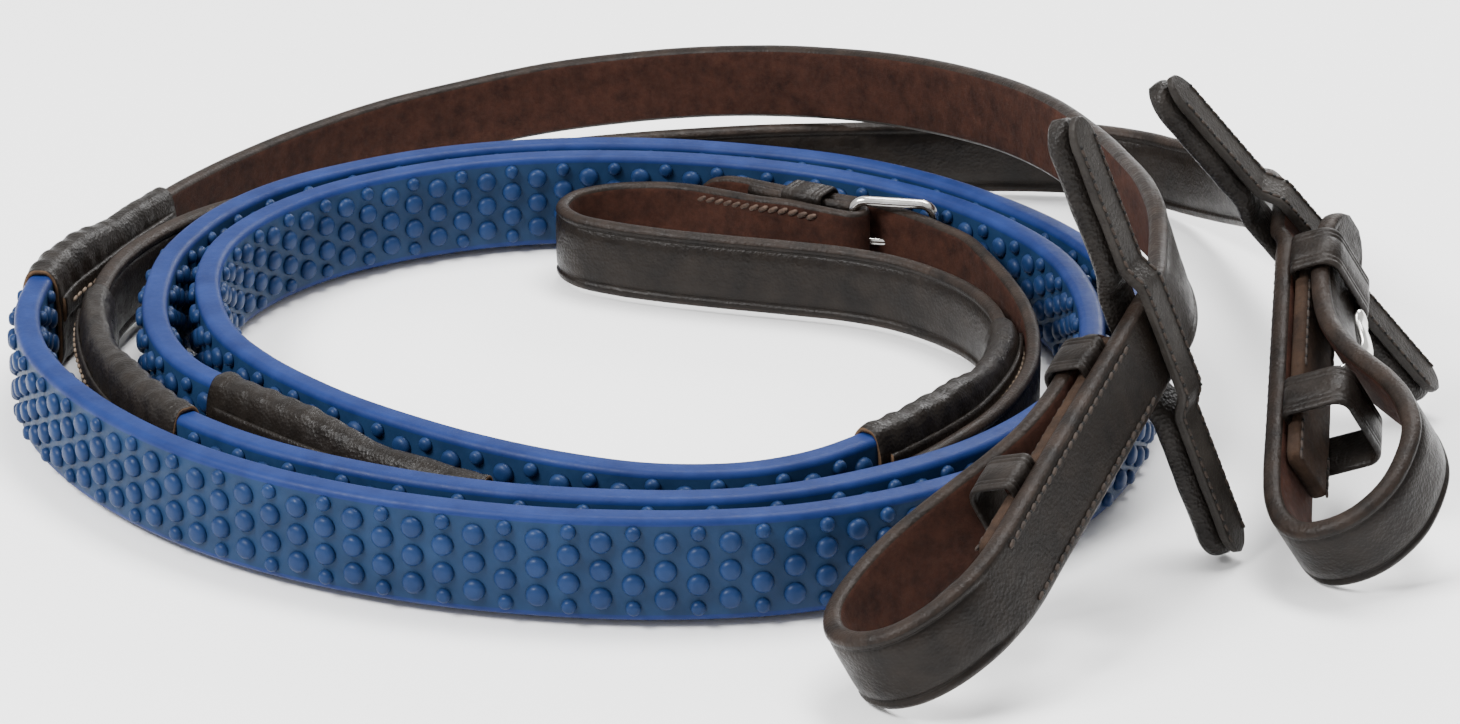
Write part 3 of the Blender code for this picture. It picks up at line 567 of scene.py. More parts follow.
# Half of a strap's section: (distance in from the edge, part of the half thickness).
GRAIN_HALF = [
    (0.0, 0.0), (0.0001, 0.4), (0.00045, 0.74), (0.00105, 0.95), (0.0016, 1.0),
    (0.0019, 1.0), (0.0022, 1.0), (0.0025, 1.0), (0.0029, 1.0), (0.005, 1.0), (0.0079, 1.0),
]
FLESH_HALF = [
    (0.0001, -0.42), (0.0004, -0.74), (0.0009, -0.92), (0.0017, -1.0), (0.0045, -1.0),
]
# Part of the pressed line's depth at some of those distances.
CREASE = {0.0019: 0.45, 0.0022: 1.0, 0.0025: 0.75, 0.0029: 0.2}
CREASE_DEPTH = 0.00055
CREASE_FADE = 0.006
STRAP_STEP = 0.0013
STRAP_WAVES = 60.0
# A rounded tip: distance from it, and part of the full width.
TIP_SIZES = ([0.0, 0.0006, 0.0018, 0.0035, 0.007, 0.011], [0.34, 0.5, 0.68, 0.82, 0.955, 1.0])


def strap_section(half_width, half_thickness, grain, crease):
    """One ring of a strap. grain is +1 or -1, the off side that the finished face is on."""
    size = half_width / (STRAP_WIDTH / 2)
    top = []
    for inset, level in GRAIN_HALF:
        dip = CREASE.get(inset, 0.0) * CREASE_DEPTH * crease
        top.append((half_width - inset * size, level * half_thickness - dip))
    low = [(half_width - inset * size, level * half_thickness) for inset, level in FLESH_HALF]
    ring = top + [(-a, b) for a, b in reversed(top)]
    ring += [(-a, b) for a, b in low] + list(reversed(low))
    if grain < 0:
        ring = [(a, -b) for a, b in reversed(ring)]
    return ring


def strap_sides(grain):
    """Look index of each ring edge: 0 grain, 1 edge, 2 flesh."""
    sides = [1] * 3 + [0] * (2 * len(GRAIN_HALF) - 7) + [1] * 6
    sides += [2] * (2 * len(FLESH_HALF) - 5) + [1] * 3
    if grain < 0:
        sides = sides[::-1]
        sides = sides[1:] + sides[:1]
    return sides


def strap(name, run, widths, thicknesses, grain, crease, looks):
    rings = np.array([
        strap_section(w / 2, t / 2, grain, c) for w, t, c in zip(widths, thicknesses, crease)
    ])
    for ring, point in zip(rings, run.points):
        at = Vector(point) * STRAP_WAVES
        ring[:, 0] *= 1.0 + 0.01 * noise.noise(at)
        ring[:, 1] *= 0.99 + 0.015 * noise.noise(at * 1.7)
    return sweep(name, run, rings, [looks["grain"], looks["edge"], looks["flesh"]],
                 strap_sides(grain), cap_look=1)


def tip_size(from_tip):
    return np.interp(from_tip, *TIP_SIZES)


def crease_fade(distance):
    """How deep the pressed line is, at a distance past its start."""
    return np.clip(distance / CREASE_FADE, 0, 1)


def cut_slot(obj, place, low, high):
    """Cuts a rounded slot between two corners (u, n, w) through a strap."""
    (u0, n0, w0), (u1, n1, w1) = low, high
    radius = (w1 - w0) / 2
    outline = arc(u1 - radius, 0.0, radius, -90, 9, 180) + arc(u0 + radius, 0.0, radius, 90, 9, 180)
    verts = [place.point(u, n, w) for n in (n0, n1) for u, w in outline]
    size = len(outline)
    faces = [tuple(range(size))[::-1], tuple(range(size, 2 * size))]
    faces += [(k, (k + 1) % size, size + (k + 1) % size, size + k) for k in range(size)]
    cutter = mesh_object("slot_cutter", verts, faces, [obj.data.materials[1]], smooth=False)
    first, second, third = [np.array(cutter.data.vertices[i].co) for i in range(3)]
    if np.dot(np.cross(second - first, third - first), place.off) > 0:
        cutter.data.flip_normals()
    boolean = obj.modifiers.new("slot", "BOOLEAN")
    boolean.operation = "DIFFERENCE"
    boolean.solver = "EXACT"
    boolean.object = cutter
    graph = bpy.context.evaluated_depsgraph_get()
    cut = bpy.data.meshes.new_from_object(obj.evaluated_get(graph))
    obj.modifiers.clear()
    obj.data = cut
    bpy.data.objects.remove(cutter)


# ---- sewing

# Rings of a stitch: place along half its length, and part of its radius.
THREAD_RINGS = [(-0.86, 0.62), (-0.45, 0.96), (0.45, 0.96), (0.86, 0.62)]
THREAD_CORNERS = 7
THREAD_SPREAD = 1.15
STITCH_LENGTH = 0.0019
STITCH_RADIUS = 0.00033
# Size of the dark dots painted between stitches as the shade inside the awl holes.
HOLE_LENGTH = 0.0007
HOLE_RADIUS = 0.0003


class Sewing:
    """Collects stitches, each a short round thread half sunk in the leather, and the near-black
    dots of painted hole shade between them, in one mesh.
    """

    def __init__(self):
        self.verts, self.faces, self.looks = [], [], []

    def stitch(self, point, along, normal, length, radius, slant, look=0):
        side = np.cross(normal, along)
        heading = math.cos(slant) * along + math.sin(slant) * side
        side = np.cross(normal, heading)
        first, corners = len(self.verts), THREAD_CORNERS
        for at, size in THREAD_RINGS:
            for k in range(corners):
                angle = math.tau * k / corners
                out = THREAD_SPREAD * math.cos(angle) * side + math.sin(angle) * normal
                self.verts.append(point + heading * at * length / 2 + radius * size * out)
        self.verts.append(point - heading * length / 2)
        self.verts.append(point + heading * length / 2)
        made = grid_faces(len(THREAD_RINGS), corners, first)
        tail = first + len(THREAD_RINGS) * corners
        last = tail - corners
        for k in range(corners):
            made.append((first + (k + 1) % corners, first + k, tail))
            made.append((last + k, last + (k + 1) % corners, tail + 1))
        self.faces += made
        self.looks += [look] * len(made)

    def row(self, run, first, last, across, off, pitch=STITCH_PITCH, slant=0.2,
            length=STITCH_LENGTH, radius=STITCH_RADIUS, holes=True):
        """Stitches along a run at one place across. off is the signed height of the surface."""
        for i in range(int((last - first) / pitch) + 1):
            point, along, wide, out = run.at(first + i * pitch)
            normal = out * math.copysign(1, off)
            place = point + wide * across + out * off
            self.stitch(place, along, normal, length, radius, slant)
            # A near-black dot in each gap between stitches paints the shade inside the awl hole.
            if holes:
                gap = point + (pitch / 2) * along + wide * across + out * off
                self.stitch(gap, along, normal, HOLE_LENGTH, HOLE_RADIUS, 0.0, 1)

    def finish(self, name, thread, looks, slot, body=ROOT):
        made = [looks[thread], looks["hole"]]
        shown(mesh_object(name, self.verts, self.faces, made, self.looks), slot, body=body)


# ---- rubber grips

GRIP_STEP = 0.0018
GRIP_CORNER = 0.0014
GRIP_WAVES = 45.0
# Rings of a pimple: part of its radius, and part of its height.
DOME = [(1.0, -0.1), (0.97, 0.3), (0.86, 0.66), (0.62, 0.91), (0.33, 0.985)]
# Pimples of every other column: place across, and radius.
PIMPLE_COLUMNS = (
    ((-0.0072, SMALL_PIMPLE), (-0.0027, LARGE_PIMPLE), (0.0027, LARGE_PIMPLE),
     (0.0072, SMALL_PIMPLE)),
    ((-0.0054, LARGE_PIMPLE), (0.0, LARGE_PIMPLE), (0.0054, LARGE_PIMPLE)),
)
# The corners round a pimple and the part of its room that it fills.
PIMPLE_SHAPE = {LARGE_PIMPLE: (14, 1.0), SMALL_PIMPLE: (12, 0.9)}
LEAST_PIMPLE = 0.00045
RAY_START = 0.00005
ROOM_REACH = 0.0045
CLEARANCE = 0.00015
BUCKLE_CLEARANCE = 0.0008


def dome(verts, faces, centre, side, along, normal, radius, height, corners):
    first = len(verts)
    for size, level in DOME:
        for k in range(corners):
            angle = math.tau * k / corners
            out = math.cos(angle) * side + math.sin(angle) * along
            verts.append(centre + normal * height * level + radius * size * out)
    verts.append(centre + normal * height)
    faces += grid_faces(len(DOME), corners, first)
    top = first + (len(DOME) - 1) * corners
    faces += [(top + k, top + (k + 1) % corners, len(verts) - 1) for k in range(corners)]
    faces.append(tuple(first + k for k in range(corners))[::-1])


def neighbours(skip):
    """Surfaces of every other CAD node, to see how much room a pimple has."""
    trees = {}
    for name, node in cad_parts.items():
        if name not in skip:
            corners = [v.co for v in node.data.vertices]
            trees[name] = BVHTree.FromPolygons(corners, [p.vertices for p in node.data.polygons])
    return trees


def pimple_room(trees, point, normal):
    room = PIMPLE_HEIGHT
    start = Vector(point + normal * RAY_START)
    for name, tree in trees.items():
        hit = tree.ray_cast(start, Vector(normal), ROOM_REACH)
        if hit[0] is None:
            continue
        clear = hit[3] - (BUCKLE_CLEARANCE if "buckle" in name else CLEARANCE)
        room = min(room, clear / 2 if name.endswith("rubber_grip") else clear)
    return room


def grip(prefix, rows, looks, trees):
    run = Run(smooth_curve(upright(rows), GRIP_STEP))
    ring = round_rect(GRIP_WIDTH, GRIP_THICKNESS, GRIP_CORNER, 7)
    rings = np.repeat(ring[None], len(run.rows), axis=0)
    for wavy, point in zip(rings, run.points):
        at = Vector(point) * GRIP_WAVES
        wavy[:, 1] += 0.00012 * noise.noise(at)
        wavy[:, 0] *= 1.0 + 0.006 * noise.noise(at * 1.3)
    steps = np.abs(ring[:, 1] - np.roll(ring[:, 1], -1))
    shell = sweep(
        f"{prefix}_grip_rubber", run, rings, [looks["rubber_face"], looks["rubber_edge"]],
        [0 if step < 1e-7 else 1 for step in steps], cap_look=1,
    )
    shown(shell, "blue_rubber", f"{prefix}_rubber_grip")
    verts, faces = [], []
    for column in range(int(run.length / PIMPLE_PITCH)):
        point, along, wide, out = run.at((column + 0.5) * PIMPLE_PITCH)
        for across, radius in PIMPLE_COLUMNS[column % 2]:
            corners, part = PIMPLE_SHAPE[radius]
            for sign in (1, -1):
                normal = out * sign
                base = point + wide * across + normal * GRIP_THICKNESS / 2
                room = pimple_room(trees, base, normal)
                if room >= LEAST_PIMPLE:
                    dome(verts, faces, base, wide * sign, along, normal, radius, room * part,
                         corners)
    pimples = mesh_object(f"{prefix}_grip_pimples", verts, faces, [looks["pimple"]])
    shown(pimples, "blue_rubber")


# ---- sleeves

SLEEVE_STEP = 0.0008
SLEEVE_POINTS = 64
SLEEVE_EDGE_DROP = 0.00015
SLEEVE_FILL = 3.6
# Where a sleeve widens to its mouth: start and length, as parts of its own length.
SLEEVE_SWELL = (0.35, 0.3)
# The seam's raised flap: (across, off).
FLAP = [(0.0026, -0.0003), (0.0025, 0.0003), (0.0018, 0.00052), (0.0, 0.00058)]
FLAP += [(-a, b) for a, b in FLAP[-2::-1]]
FLAP_LIFT = 0.00002
SEAM_PITCH = 0.0026
SEAM_MARGIN = 0.002
SEAM_STITCH = {"length": STITCH_LENGTH, "radius": 0.00042, "slant": 0.15}
SEAM_HEIGHT = 0.00064


def sleeve_size(part):
    """Width, thickness and squareness of a sleeve, from its leather end (0) to its mouth (1)."""
    width, thick = [
        end + (mouth - end) * part for end, mouth in zip(SLEEVE_END_SIZE, SLEEVE_MOUTH_SIZE)
    ]
    return width, thick, 2.5 + 0.5 * part


def seam_level(part, across):
    """Height of a sleeve's outer face at one place across."""
    width, thick, power = sleeve_size(part)
    return thick / 2 * (1.0 - (2 * abs(across) / width) ** power) ** (1 / power)


def sleeve_lift(at, a, gone, part):
    """How far the thin leather stands off its plain shape: lumps, creases, and the pimples that
    show through at the mouth."""
    lump = 0.00028 * noise.noise(at * 130.0) + 0.0001 * noise.noise(at * 420.0)
    crinkle = abs(noise.noise(Vector((at.x * 160, at.y * 160, at.z * 90))))
    lump -= 0.0002 * max(0.0, 0.22 - crinkle) / 0.22 * (1.0 - 0.4 * part)
    column = math.sin(math.tau * gone / PIMPLE_PITCH)
    return lump + 0.00016 * part * column * math.cos(math.pi * a / 0.0057)


def sleeve(prefix, leather_rows, grip_rows, before, after, seam, looks):
    """A sewn tube of thin leather. seam is (place across, off side) of its raised edge."""
    lead, whole = [
        Run(smooth_curve(upright(leather_rows + rows), SLEEVE_STEP))
        for rows in (grip_rows[:1], grip_rows)
    ]
    run = whole.part(lead.length - before, lead.length + after)
    ease = ease_between(run.gone / run.length, *SLEEVE_SWELL)
    n, count = len(run.rows), SLEEVE_POINTS
    outer, inner = [], []
    for i in range(n):
        width, thick, power = sleeve_size(ease[i])
        ring = super_ring(width, thick, power, count)
        lift = np.array([
            sleeve_lift(Vector(run.points[i] + run.across[i] * a + run.off[i] * b), a,
                        run.gone[i], ease[i])
            for a, b in ring
        ])
        if i in (0, n - 1):
            lift -= SLEEVE_EDGE_DROP
        normals = ring / np.array([width / 2, thick / 2]) ** 2
        normals /= np.linalg.norm(normals, axis=1)[:, None]
        outer.append(ring + normals * lift[:, None])
        walls = 2 * SLEEVE_WALL
        inner.append(super_ring(width - walls, thick - walls, SLEEVE_FILL, count))
    verts = np.concatenate([run.carry(np.array(rings)) for rings in (outer, inner)])
    total, last = n * count, (n - 1) * count
    faces = grid_faces(n, count) + grid_faces(n, count, total, inward=True)
    indices = [0] * last + [1] * last
    for j in range(count):
        k = (j + 1) % count
        faces.append((k, j, total + j, total + k))
        faces.append((last + j, last + k, total + last + k, total + last + j))
        indices += [1, 1]
    made = [looks["sleeve"], looks["raw"]]
    obj = mesh_object(f"{prefix}_wrapped_sleeve", verts, faces, made, indices)
    shown(obj, "leather_sleeve", f"{prefix}_sleeve")

    # The seam: a narrow raised flap of leather with a row of stitches on it.
    middle, side = seam
    picked = list(range(2, n - 2, 2))
    rings = []
    for part in ease[picked]:
        level = side * (seam_level(part, middle) + FLAP_LIFT)
        ring = [(middle + a, level + side * b) for a, b in FLAP]
        rings.append(ring if side > 0 else ring[::-1])
    run = Run(run.rows[picked])
    flap = sweep(f"{prefix}_sleeve_seam", run, np.array(rings), made, cap_look=1)
    shown(flap, "leather_sleeve")
    sewing = Sewing()
    for i in range(int((run.length - 2 * SEAM_MARGIN) / SEAM_PITCH)):
        s = SEAM_MARGIN + i * SEAM_PITCH
        part = float(np.interp(s, run.gone, ease[picked]))
        point, along, wide, out = run.at(s)
        place = point + wide * middle + out * side * (seam_level(part, middle) + SEAM_HEIGHT)
        sewing.stitch(place, along, out * side, **SEAM_STITCH)
    sewing.finish(f"{prefix}_sleeve_stitches", "tan_thread", looks, "leather_sleeve")


# ---- keepers, strip, hook stud

KEEPER_STEP = 0.0008
KEEPER_CORNER = 0.003
KEEPER_LOW_CORNER = 0.001
# Half of a keeper's section with its pressed lines: (distance in from the edge, part of the half
# wall), outside and inside.
KEEPER_OUTSIDE = [
    (0.0, 0.0), (0.0002, 0.6), (0.0006, 0.95), (0.0011, 1.0), (0.00135, 0.62),
    (0.0016, 1.0), (0.0021, 1.0), (0.00235, 0.66), (0.0026, 1.0), (0.0044, 1.06),
]
KEEPER_INSIDE = [(0.0003, -0.7), (0.0008, -1.0)]
STRIP_SIZE = (0.0134, 0.0028, 0.0009)
STRIP_OFF = 0.0036
# The hook's sizes by the distance from the tip of its head.
HOOK_WIDTHS = (
    [0.0, 0.0004, 0.0012, 0.0025, 0.008, 0.012, 0.015, 0.024, 0.03],
    [0.0012, 0.0026, 0.004, 0.005, 0.0052, 0.0042, 0.0036, 0.0038, 0.0048],
)
HOOK_THICKNESSES = (
    [0.0, 0.0005, 0.0015, 0.006, 0.011, 0.016],
    [0.0005, 0.001, 0.0016, 0.0018, 0.0014, 0.0012],
)
METAL_STEP = 0.0005


def keeper(name, place, at, low, high, looks, node, leg=0.0009):
    """A leather loop round the strap: a closed band with two pressed lines near each edge."""
    w, bottom, top = KEEPER_HALF + KEEPER_WALL / 2, low + leg / 2, high + KEEPER_WALL / 2
    path = round_box(-w, w, bottom, top, KEEPER_CORNER, 9, KEEPER_LOW_CORNER)
    rows = [(*place.point(at, n, across), *place.along) for across, n in filled(path, KEEPER_STEP)]
    run = Run(rows, closed=True)
    hw, ht = KEEPER_WIDTH / 2, KEEPER_WALL / 2
    ring = [(hw - inset, ht * level) for inset, level in KEEPER_OUTSIDE]
    ring += [(-a, b) for a, b in reversed(ring)]
    inside = [(hw - inset, ht * level) for inset, level in KEEPER_INSIDE]
    ring += [(-a, b) for a, b in inside] + inside[::-1]
    outward = (run.points - place.point(at, (bottom + top) / 2)) * run.off
    if outward.sum() < 0:
        ring = [(a, -b) for a, b in reversed(ring)]
    rings = np.repeat(np.array(ring)[None], len(run.rows), axis=0)
    obj = sweep(name, run, rings, [looks["keeper"]], closed=True)
    shown(obj, "leather_keeper", node)


def strip(prefix, place, end, looks):
    """The sewn strip between the rein and its folded end."""
    run = Run(place.rows([(u, STRIP_OFF) for u in np.linspace(0.0, end, 70)]))
    width, thickness, radius = STRIP_SIZE
    rings = []
    for point, u in zip(run.points, run.gone):
        edge = min(1.0, 0.86 + u / 0.008, 0.86 + (end - u) / 0.006)
        ring = round_rect(width * edge, thickness, radius, 4)
        ring[:, 0] += 0.00012 * noise.noise(Vector(point) * 300.0)
        rings.append(ring)
    obj = sweep(f"{prefix}_sewn_strip", run, np.array(rings), [looks["hair"]])
    shown(obj, "leather_chape", f"{prefix}_chape")


def hook_stud(prefix, place, looks):
    """A bent nickel hook: a flat foot, a narrow neck and a domed head."""
    run = Run(smooth_curve(place.rows(HOOK), METAL_STEP))
    from_head = run.length - run.gone
    widths = np.interp(from_head, *HOOK_WIDTHS)
    thicknesses = np.interp(from_head, *HOOK_THICKNESSES)
    rings = np.array([super_ring(w, t, 2.3, 28) for w, t in zip(widths, thicknesses)])
    obj = sweep(f"{prefix}_nickel_hook", run, rings, [looks["nickel"]])
    shown(obj, "nickel_steel", f"{prefix}_hook_stud")


# ---- rein stops

# Where a stop changes from its middle to its wings: start and length.
STOP_MIDDLE = (0.01, 0.0055)
STOP_TIP = 0.0058
# The two layers: label, side, and their distance off the rein and thickness, each at the wings and
# in the middle.
STOP_LAYERS = (
    ("pad", 1, 0.0023, 0.0041, 0.0042, 0.003),
    ("face", -1, 0.00115, 0.0036, 0.0018, 0.0018),
)
STOP_FACE_WIDTH = 0.007
STOP_SEAM = 0.0027
STOP_SEAM_MARGIN = 0.004
STOP_SEAM_HEIGHT = 0.00096
STOP_STITCHES = {"pitch": 0.0022, "slant": 0.16, "length": 0.0018, "radius": 0.0003}


def rein_stop(prefix, place, bar, pad_side, looks):
    """A rolled pad behind the rein and a flat stitched strip in front of it."""
    long = unit(bar)
    wide = unit(place.along - place.along @ long * long)
    off = np.cross(long, wide) * np.sign(np.cross(place.across, place.along) @ place.off)
    centre = place.point(STOPS[prefix], 0.0)
    body = f"{prefix}_stop"
    for label, layer_side, wing, middle, wing_thick, middle_thick in STOP_LAYERS:
        side = layer_side * pad_side
        rows, rings = [], []
        for w in np.linspace(-STOP_REACH, STOP_REACH, 150):
            ease = ease_between(abs(w), *STOP_MIDDLE)
            n = side * (middle + (wing - middle) * ease)
            rows.append((*(centre + w * long + n * off), *wide))
            tip = max(0.0, (abs(w) - (STOP_REACH - STOP_TIP)) / STOP_TIP)
            size = max(0.1, math.sqrt(max(0.0, 1.0 - tip * tip)))
            thick = (middle_thick + (wing_thick - middle_thick) * ease) * (0.55 + 0.45 * size)
            if label == "pad":
                ring = super_ring((STOP_WIDTH + 0.0008) * size, thick * 1.12, 2.4, 36)
            else:
                corner = min(0.0007, 0.3 * thick)
                ring = round_rect(STOP_FACE_WIDTH * size, thick, corner, 9)
            for spot in ring:
                at = Vector(centre + w * long) * 240.0 + Vector((spot[0], spot[1], 0)) * 240.0
                spot *= 1.0 + 0.035 * noise.noise(at)
            rings.append(ring)
        run = Run(rows)
        obj = sweep(f"{prefix}_stop_{label}", run, np.array(rings), [looks[label]])
        slot = "leather_stop" if label == "pad" else "leather_stop_face"
        shown(obj, slot, f"{prefix}_rein_stop_{label}", body=body)
    # The last layer is the face, which carries the stitches.
    outward = side if np.dot(run.off[0], off) > 0 else -side
    sewing = Sewing()
    for across in (-STOP_SEAM, STOP_SEAM):
        sewing.row(run, STOP_SEAM_MARGIN, run.length - STOP_SEAM_MARGIN, across,
                   outward * STOP_SEAM_HEIGHT, **STOP_STITCHES)
    sewing.finish(f"{prefix}_stop_stitches", "thread", looks, slot, body)


# ---- centre buckle

FRAME_CORNER = 0.0028
FRAME_STEP = 0.0009
VISIBLE_WIRE = 1.9 * FRAME_WIRE
TONGUE_GAP = 0.00025
TIP_GAP = 0.0003


def centre_buckle(place, looks):
    du, dn = CENTRE_BAR
    length = math.hypot(du, dn)
    heading = unit(du * place.along + dn * place.off)
    third = np.cross(place.along, place.off)
    normal = unit(np.cross(third, heading))
    hinge = place.point(0.0, 0.0)

    def spot(u, n, w):
        return hinge + u * heading + n * normal + w * third

    path = round_box(0.0, length, -FRAME_HALF_WIDTH, FRAME_HALF_WIDTH, FRAME_CORNER, 9)
    run = Run([(*spot(u, 0.0, w), *normal) for u, w in filled(path, FRAME_STEP)], closed=True)
    wire = VISIBLE_WIRE
    rings = np.repeat(super_ring(wire, wire, 2.0, 18)[None], len(run.rows), axis=0)
    obj = sweep("centre_nickel_frame", run, rings, [looks["nickel"]], closed=True)
    shown(obj, "nickel_steel", "centre_buckle_frame", body="centre_frame")

    reach = FRAME_WIRE + TONGUE_GAP + TONGUE_WIRE
    rest = FRAME_WIRE + TONGUE_WIRE + TIP_GAP
    path = [(-reach * math.sin(a), -reach * math.cos(a)) for a in np.radians(range(-285, 1, 12))]
    path += [(0.003, -reach), (length * 0.6, -reach - 0.0001), (length + 0.001, -rest)]
    run = Run(smooth_curve([(*spot(u, n, 0.0), *third) for u, n in path], METAL_STEP))
    sizes = 2 * TONGUE_WIRE * np.interp(run.length - run.gone, [0, 0.0006, 0.004], [0.6, 0.85, 1.0])
    rings = np.array([super_ring(s * 1.15, s * 0.95, 2.0, 16) for s in sizes])
    obj = sweep("centre_nickel_tongue", run, rings, [looks["nickel"]])
    shown(obj, "nickel_steel", "centre_buckle_tongue", body="centre_tongue")


# ---- build

JOIN_GAP = 0.0012
TIP_PLAIN = 0.004
SEWN_LENGTH = 0.086
TURN_SEWN = 0.075
TURN_STEP = 0.001
# Thicknesses of the centre straps by the distance left to their ends.
POINT_THICKNESSES = ([0.0, 0.045], [0.0024, CENTRE_THICKNESS])
TURN_THICKNESSES = ([0.0, 0.02, 0.045, 0.06], [0.002, 0.0022, 0.0024, CENTRE_THICKNESS])
SEAM_PLACE = STRAP_WIDTH / 2 - STITCH_INSET
# Heights of the sewn surfaces off the rein's middle: its back, and the face of the folded end.
BACK_HEIGHT = STRAP_THICKNESS / 2 + 0.0001
FOLD_HEIGHT = 0.00505
# The sewn stretches of a bit end, as (from, to): along its back, and along the folded end.
BACK_ROW = (0.0005, 0.0555)
FOLD_ROWS = ((0.0005, 0.01), (0.0235, 0.043))
BACK_RADIUS = 0.0004
KEEPER_BOTTOM = 0.0022
STRIP_TO_STOP = 0.0066
CENTRE_SEAM = (0.067, 0.04)
CENTRE_SEAM_HEIGHT = 0.00128
CENTRE_STITCHES = {
    "pitch": 0.0022, "slant": 0.45, "length": 0.0027, "radius": 0.0005, "holes": False,
}
# Slots as two corners (u, n, w).
HOOK_SLOT = ((0.0226, 0.006, -0.0024), (0.0292, 0.017, 0.0024))
TONGUE_SLOT = ((-0.006, -0.005, -0.0011), (0.0034, 0.005, 0.0011))
# How the strap leans where it leaves the bit end, row by row.
SETTLE_A = [(-0.45, -0.1, 0.886), (-0.3, -0.05, 0.95), (-0.16, 0.0, 0.98), (-0.06, 0.0, 1.0)]
SETTLE_B = [
    STOP_B_BAR, STOP_B_BAR, (-0.56, -0.16, 0.81), (-0.4, -0.1, 0.9), (-0.22, -0.05, 0.97),
    (-0.08, 0.0, 1.0),
]


def half_rein(prefix, place, loop, route, settle, grip_rows, bar, grain, looks):
    rows = upright(route)
    for i, lean in enumerate(settle):
        rows[i] = (*rows[i][:3], *lean)
    bit = place.rows(loop)
    if prefix == "right":
        bit += place.rows([(0.0585, 0.0), (0.0645, 0.0)], STOP_B_BAR)
    whole = Run(smooth_curve(bit + rows + upright(grip_rows)[:1], STRAP_STEP))
    run = whole.part(0.0, whole.length - JOIN_GAP)
    # The pressed line stops where the bit end is sewn.
    sewn_end = Run(smooth_curve(bit, STRAP_STEP)).length
    sewn = crease_fade(run.gone - (sewn_end - SEWN_LENGTH)) * crease_fade(
        sewn_end + TIP_PLAIN - run.gone)
    crease = (1.0 - sewn) * crease_fade(run.gone - TIP_PLAIN)
    obj = strap(f"{prefix}_rein_leather", run, STRAP_WIDTH * tip_size(run.gone),
                np.full(len(run.rows), STRAP_THICKNESS), grain, crease, looks)
    cut_slot(obj, place, *HOOK_SLOT)
    shown(obj, "leather_bit_strap", f"{prefix}_bit_strap")

    strip(prefix, place, STOPS[prefix] - STRIP_TO_STOP, looks)
    for label, (at, high) in KEEPERS[prefix].items():
        name = f"{prefix}_{label}"
        keeper(f"{name}_loop", place, at, KEEPER_BOTTOM, high, looks, f"{name}_keeper")
    hook_stud(prefix, place, looks)
    rein_stop(prefix, place, bar, -1 if prefix == "right" else 1, looks)

    sewing = Sewing()
    sewn = Run(place.rows([(u, 0.0) for u in np.linspace(0, 0.056, 57)]))
    out = 1 if np.dot(sewn.off[0], place.off) > 0 else -1
    for across in (-SEAM_PLACE, SEAM_PLACE):
        sewing.row(sewn, *BACK_ROW, across, -out * BACK_HEIGHT, radius=BACK_RADIUS)
        for stretch in FOLD_ROWS:
            sewing.row(sewn, *stretch, across, out * FOLD_HEIGHT)
    sewing.finish(f"{prefix}_bit_stitches", "thread", looks, "leather_bit_strap")


def centre_strap(label, rows, step, thicknesses, tip, grain, plain, looks):
    """The strap and its run. thicknesses and plain, where the pressed line stops, are read by the
    distance left to its end."""
    run = Run(smooth_curve(rows, step))
    run = run.part(JOIN_GAP, run.length)
    left = run.length - run.gone
    widths = STRAP_WIDTH * (tip_size(left) if tip else np.ones(len(left)))
    obj = strap(f"centre_{label}_leather", run, widths, np.interp(left, *thicknesses), grain,
                crease_fade(left - plain), looks)
    return obj, run


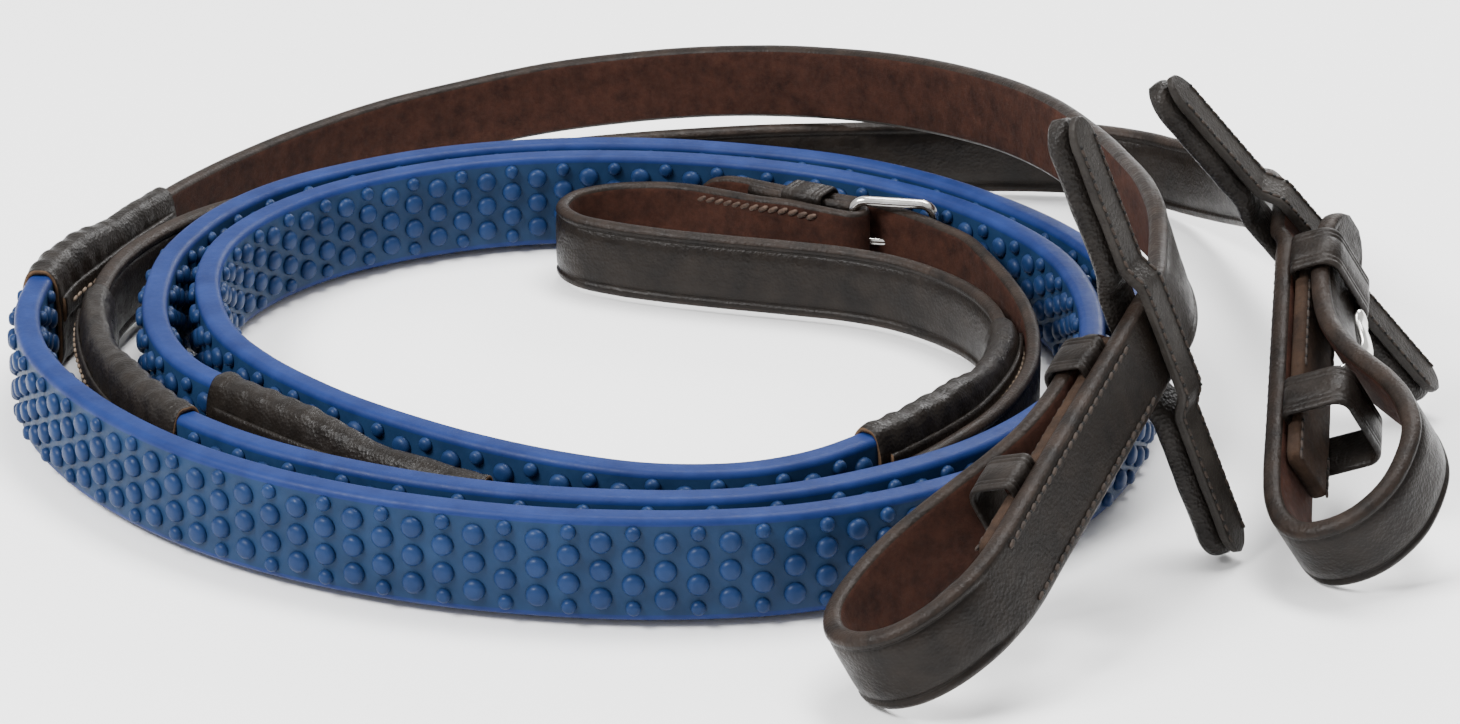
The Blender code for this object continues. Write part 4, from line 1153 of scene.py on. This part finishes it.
def centre_straps(place, looks):
    obj, _ = centre_strap(
        "point", upright(GRIP_A)[-1:] + upright(POINT_STRAP) + place.rows(TIP, UP), STRAP_STEP,
        POINT_THICKNESSES, True, 1, TIP_PLAIN, looks,
    )
    shown(obj, "leather_centre", "centre_point_strap")
    obj, run = centre_strap(
        "buckle", upright(GRIP_B)[-1:] + upright(BUCKLE_STRAP) + place.rows(TURN, UP), TURN_STEP,
        TURN_THICKNESSES, False, -1, TURN_SEWN, looks,
    )
    cut_slot(obj, place, *TONGUE_SLOT)
    shown(obj, "leather_centre", "centre_buckle_strap")
    sewing = Sewing()
    for across in (-SEAM_PLACE, SEAM_PLACE):
        first, last = (run.length - distance for distance in CENTRE_SEAM)
        sewing.row(run, first, last, across, CENTRE_SEAM_HEIGHT, **CENTRE_STITCHES)
    sewing.finish("centre_stitches", "brown_thread", looks, "leather_centre")
    at, low, high = CENTRE_KEEPER
    keeper("centre_loop", place, at, low, high, looks, "centre_keeper", 0.0007)
    centre_buckle(place, looks)


def build():
    looks = {key: kind(*rest) for key, (kind, *rest) in MATERIALS.items()}
    bit_a = Place(BIT_A_ORIGIN, BIT_A_ALONG, BIT_A_ACROSS)
    bit_b = Place(BIT_B_ORIGIN, BIT_B_ALONG, BIT_B_ACROSS, True)
    centre = Place(CENTRE_HINGE, CENTRE_ALONG, UP, True)
    lean = math.radians(STOP_A_SKEW)
    bar_a = math.cos(lean) * bit_a.across + math.sin(lean) * bit_a.along

    for prefix, rows in (("front", GRIP_A), ("right", GRIP_B)):
        own = {f"{prefix}_rubber_grip", f"{prefix}_grip_core", "front_hook_stud", "right_hook_stud"}
        grip(prefix, rows, looks, neighbours(own))
        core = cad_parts[f"{prefix}_grip_core"]
        core.data.materials.clear()
        core.data.materials.append(looks["web"])
    half_rein("front", bit_a, LOOP_A, ROUTE_A, SETTLE_A, GRIP_A, bar_a, 1, looks)
    half_rein("right", bit_b, LOOP_B, ROUTE_B, SETTLE_B, GRIP_B, STOP_B_BAR, -1, looks)
    centre_straps(centre, looks)
    ends = (
        ("front_bit", ROUTE_A[-7:], GRIP_A, 0.046, 0.01, (0.0024, -1)),
        ("right_bit", ROUTE_B[-7:], GRIP_B, 0.052, 0.02, (0.0022, 1)),
        ("front_centre", POINT_STRAP[7::-1], GRIP_A[::-1], 0.052, 0.013, (0.0036, -1)),
        ("right_centre", BUCKLE_STRAP[6::-1], GRIP_B[::-1], 0.058, 0.013, (0.004, -1)),
    )
    for prefix, leather_rows, grip_rows, before, after, seam in ends:
        sleeve(prefix, leather_rows, grip_rows[:5], before, after, seam, looks)


camera()
studio()
build()
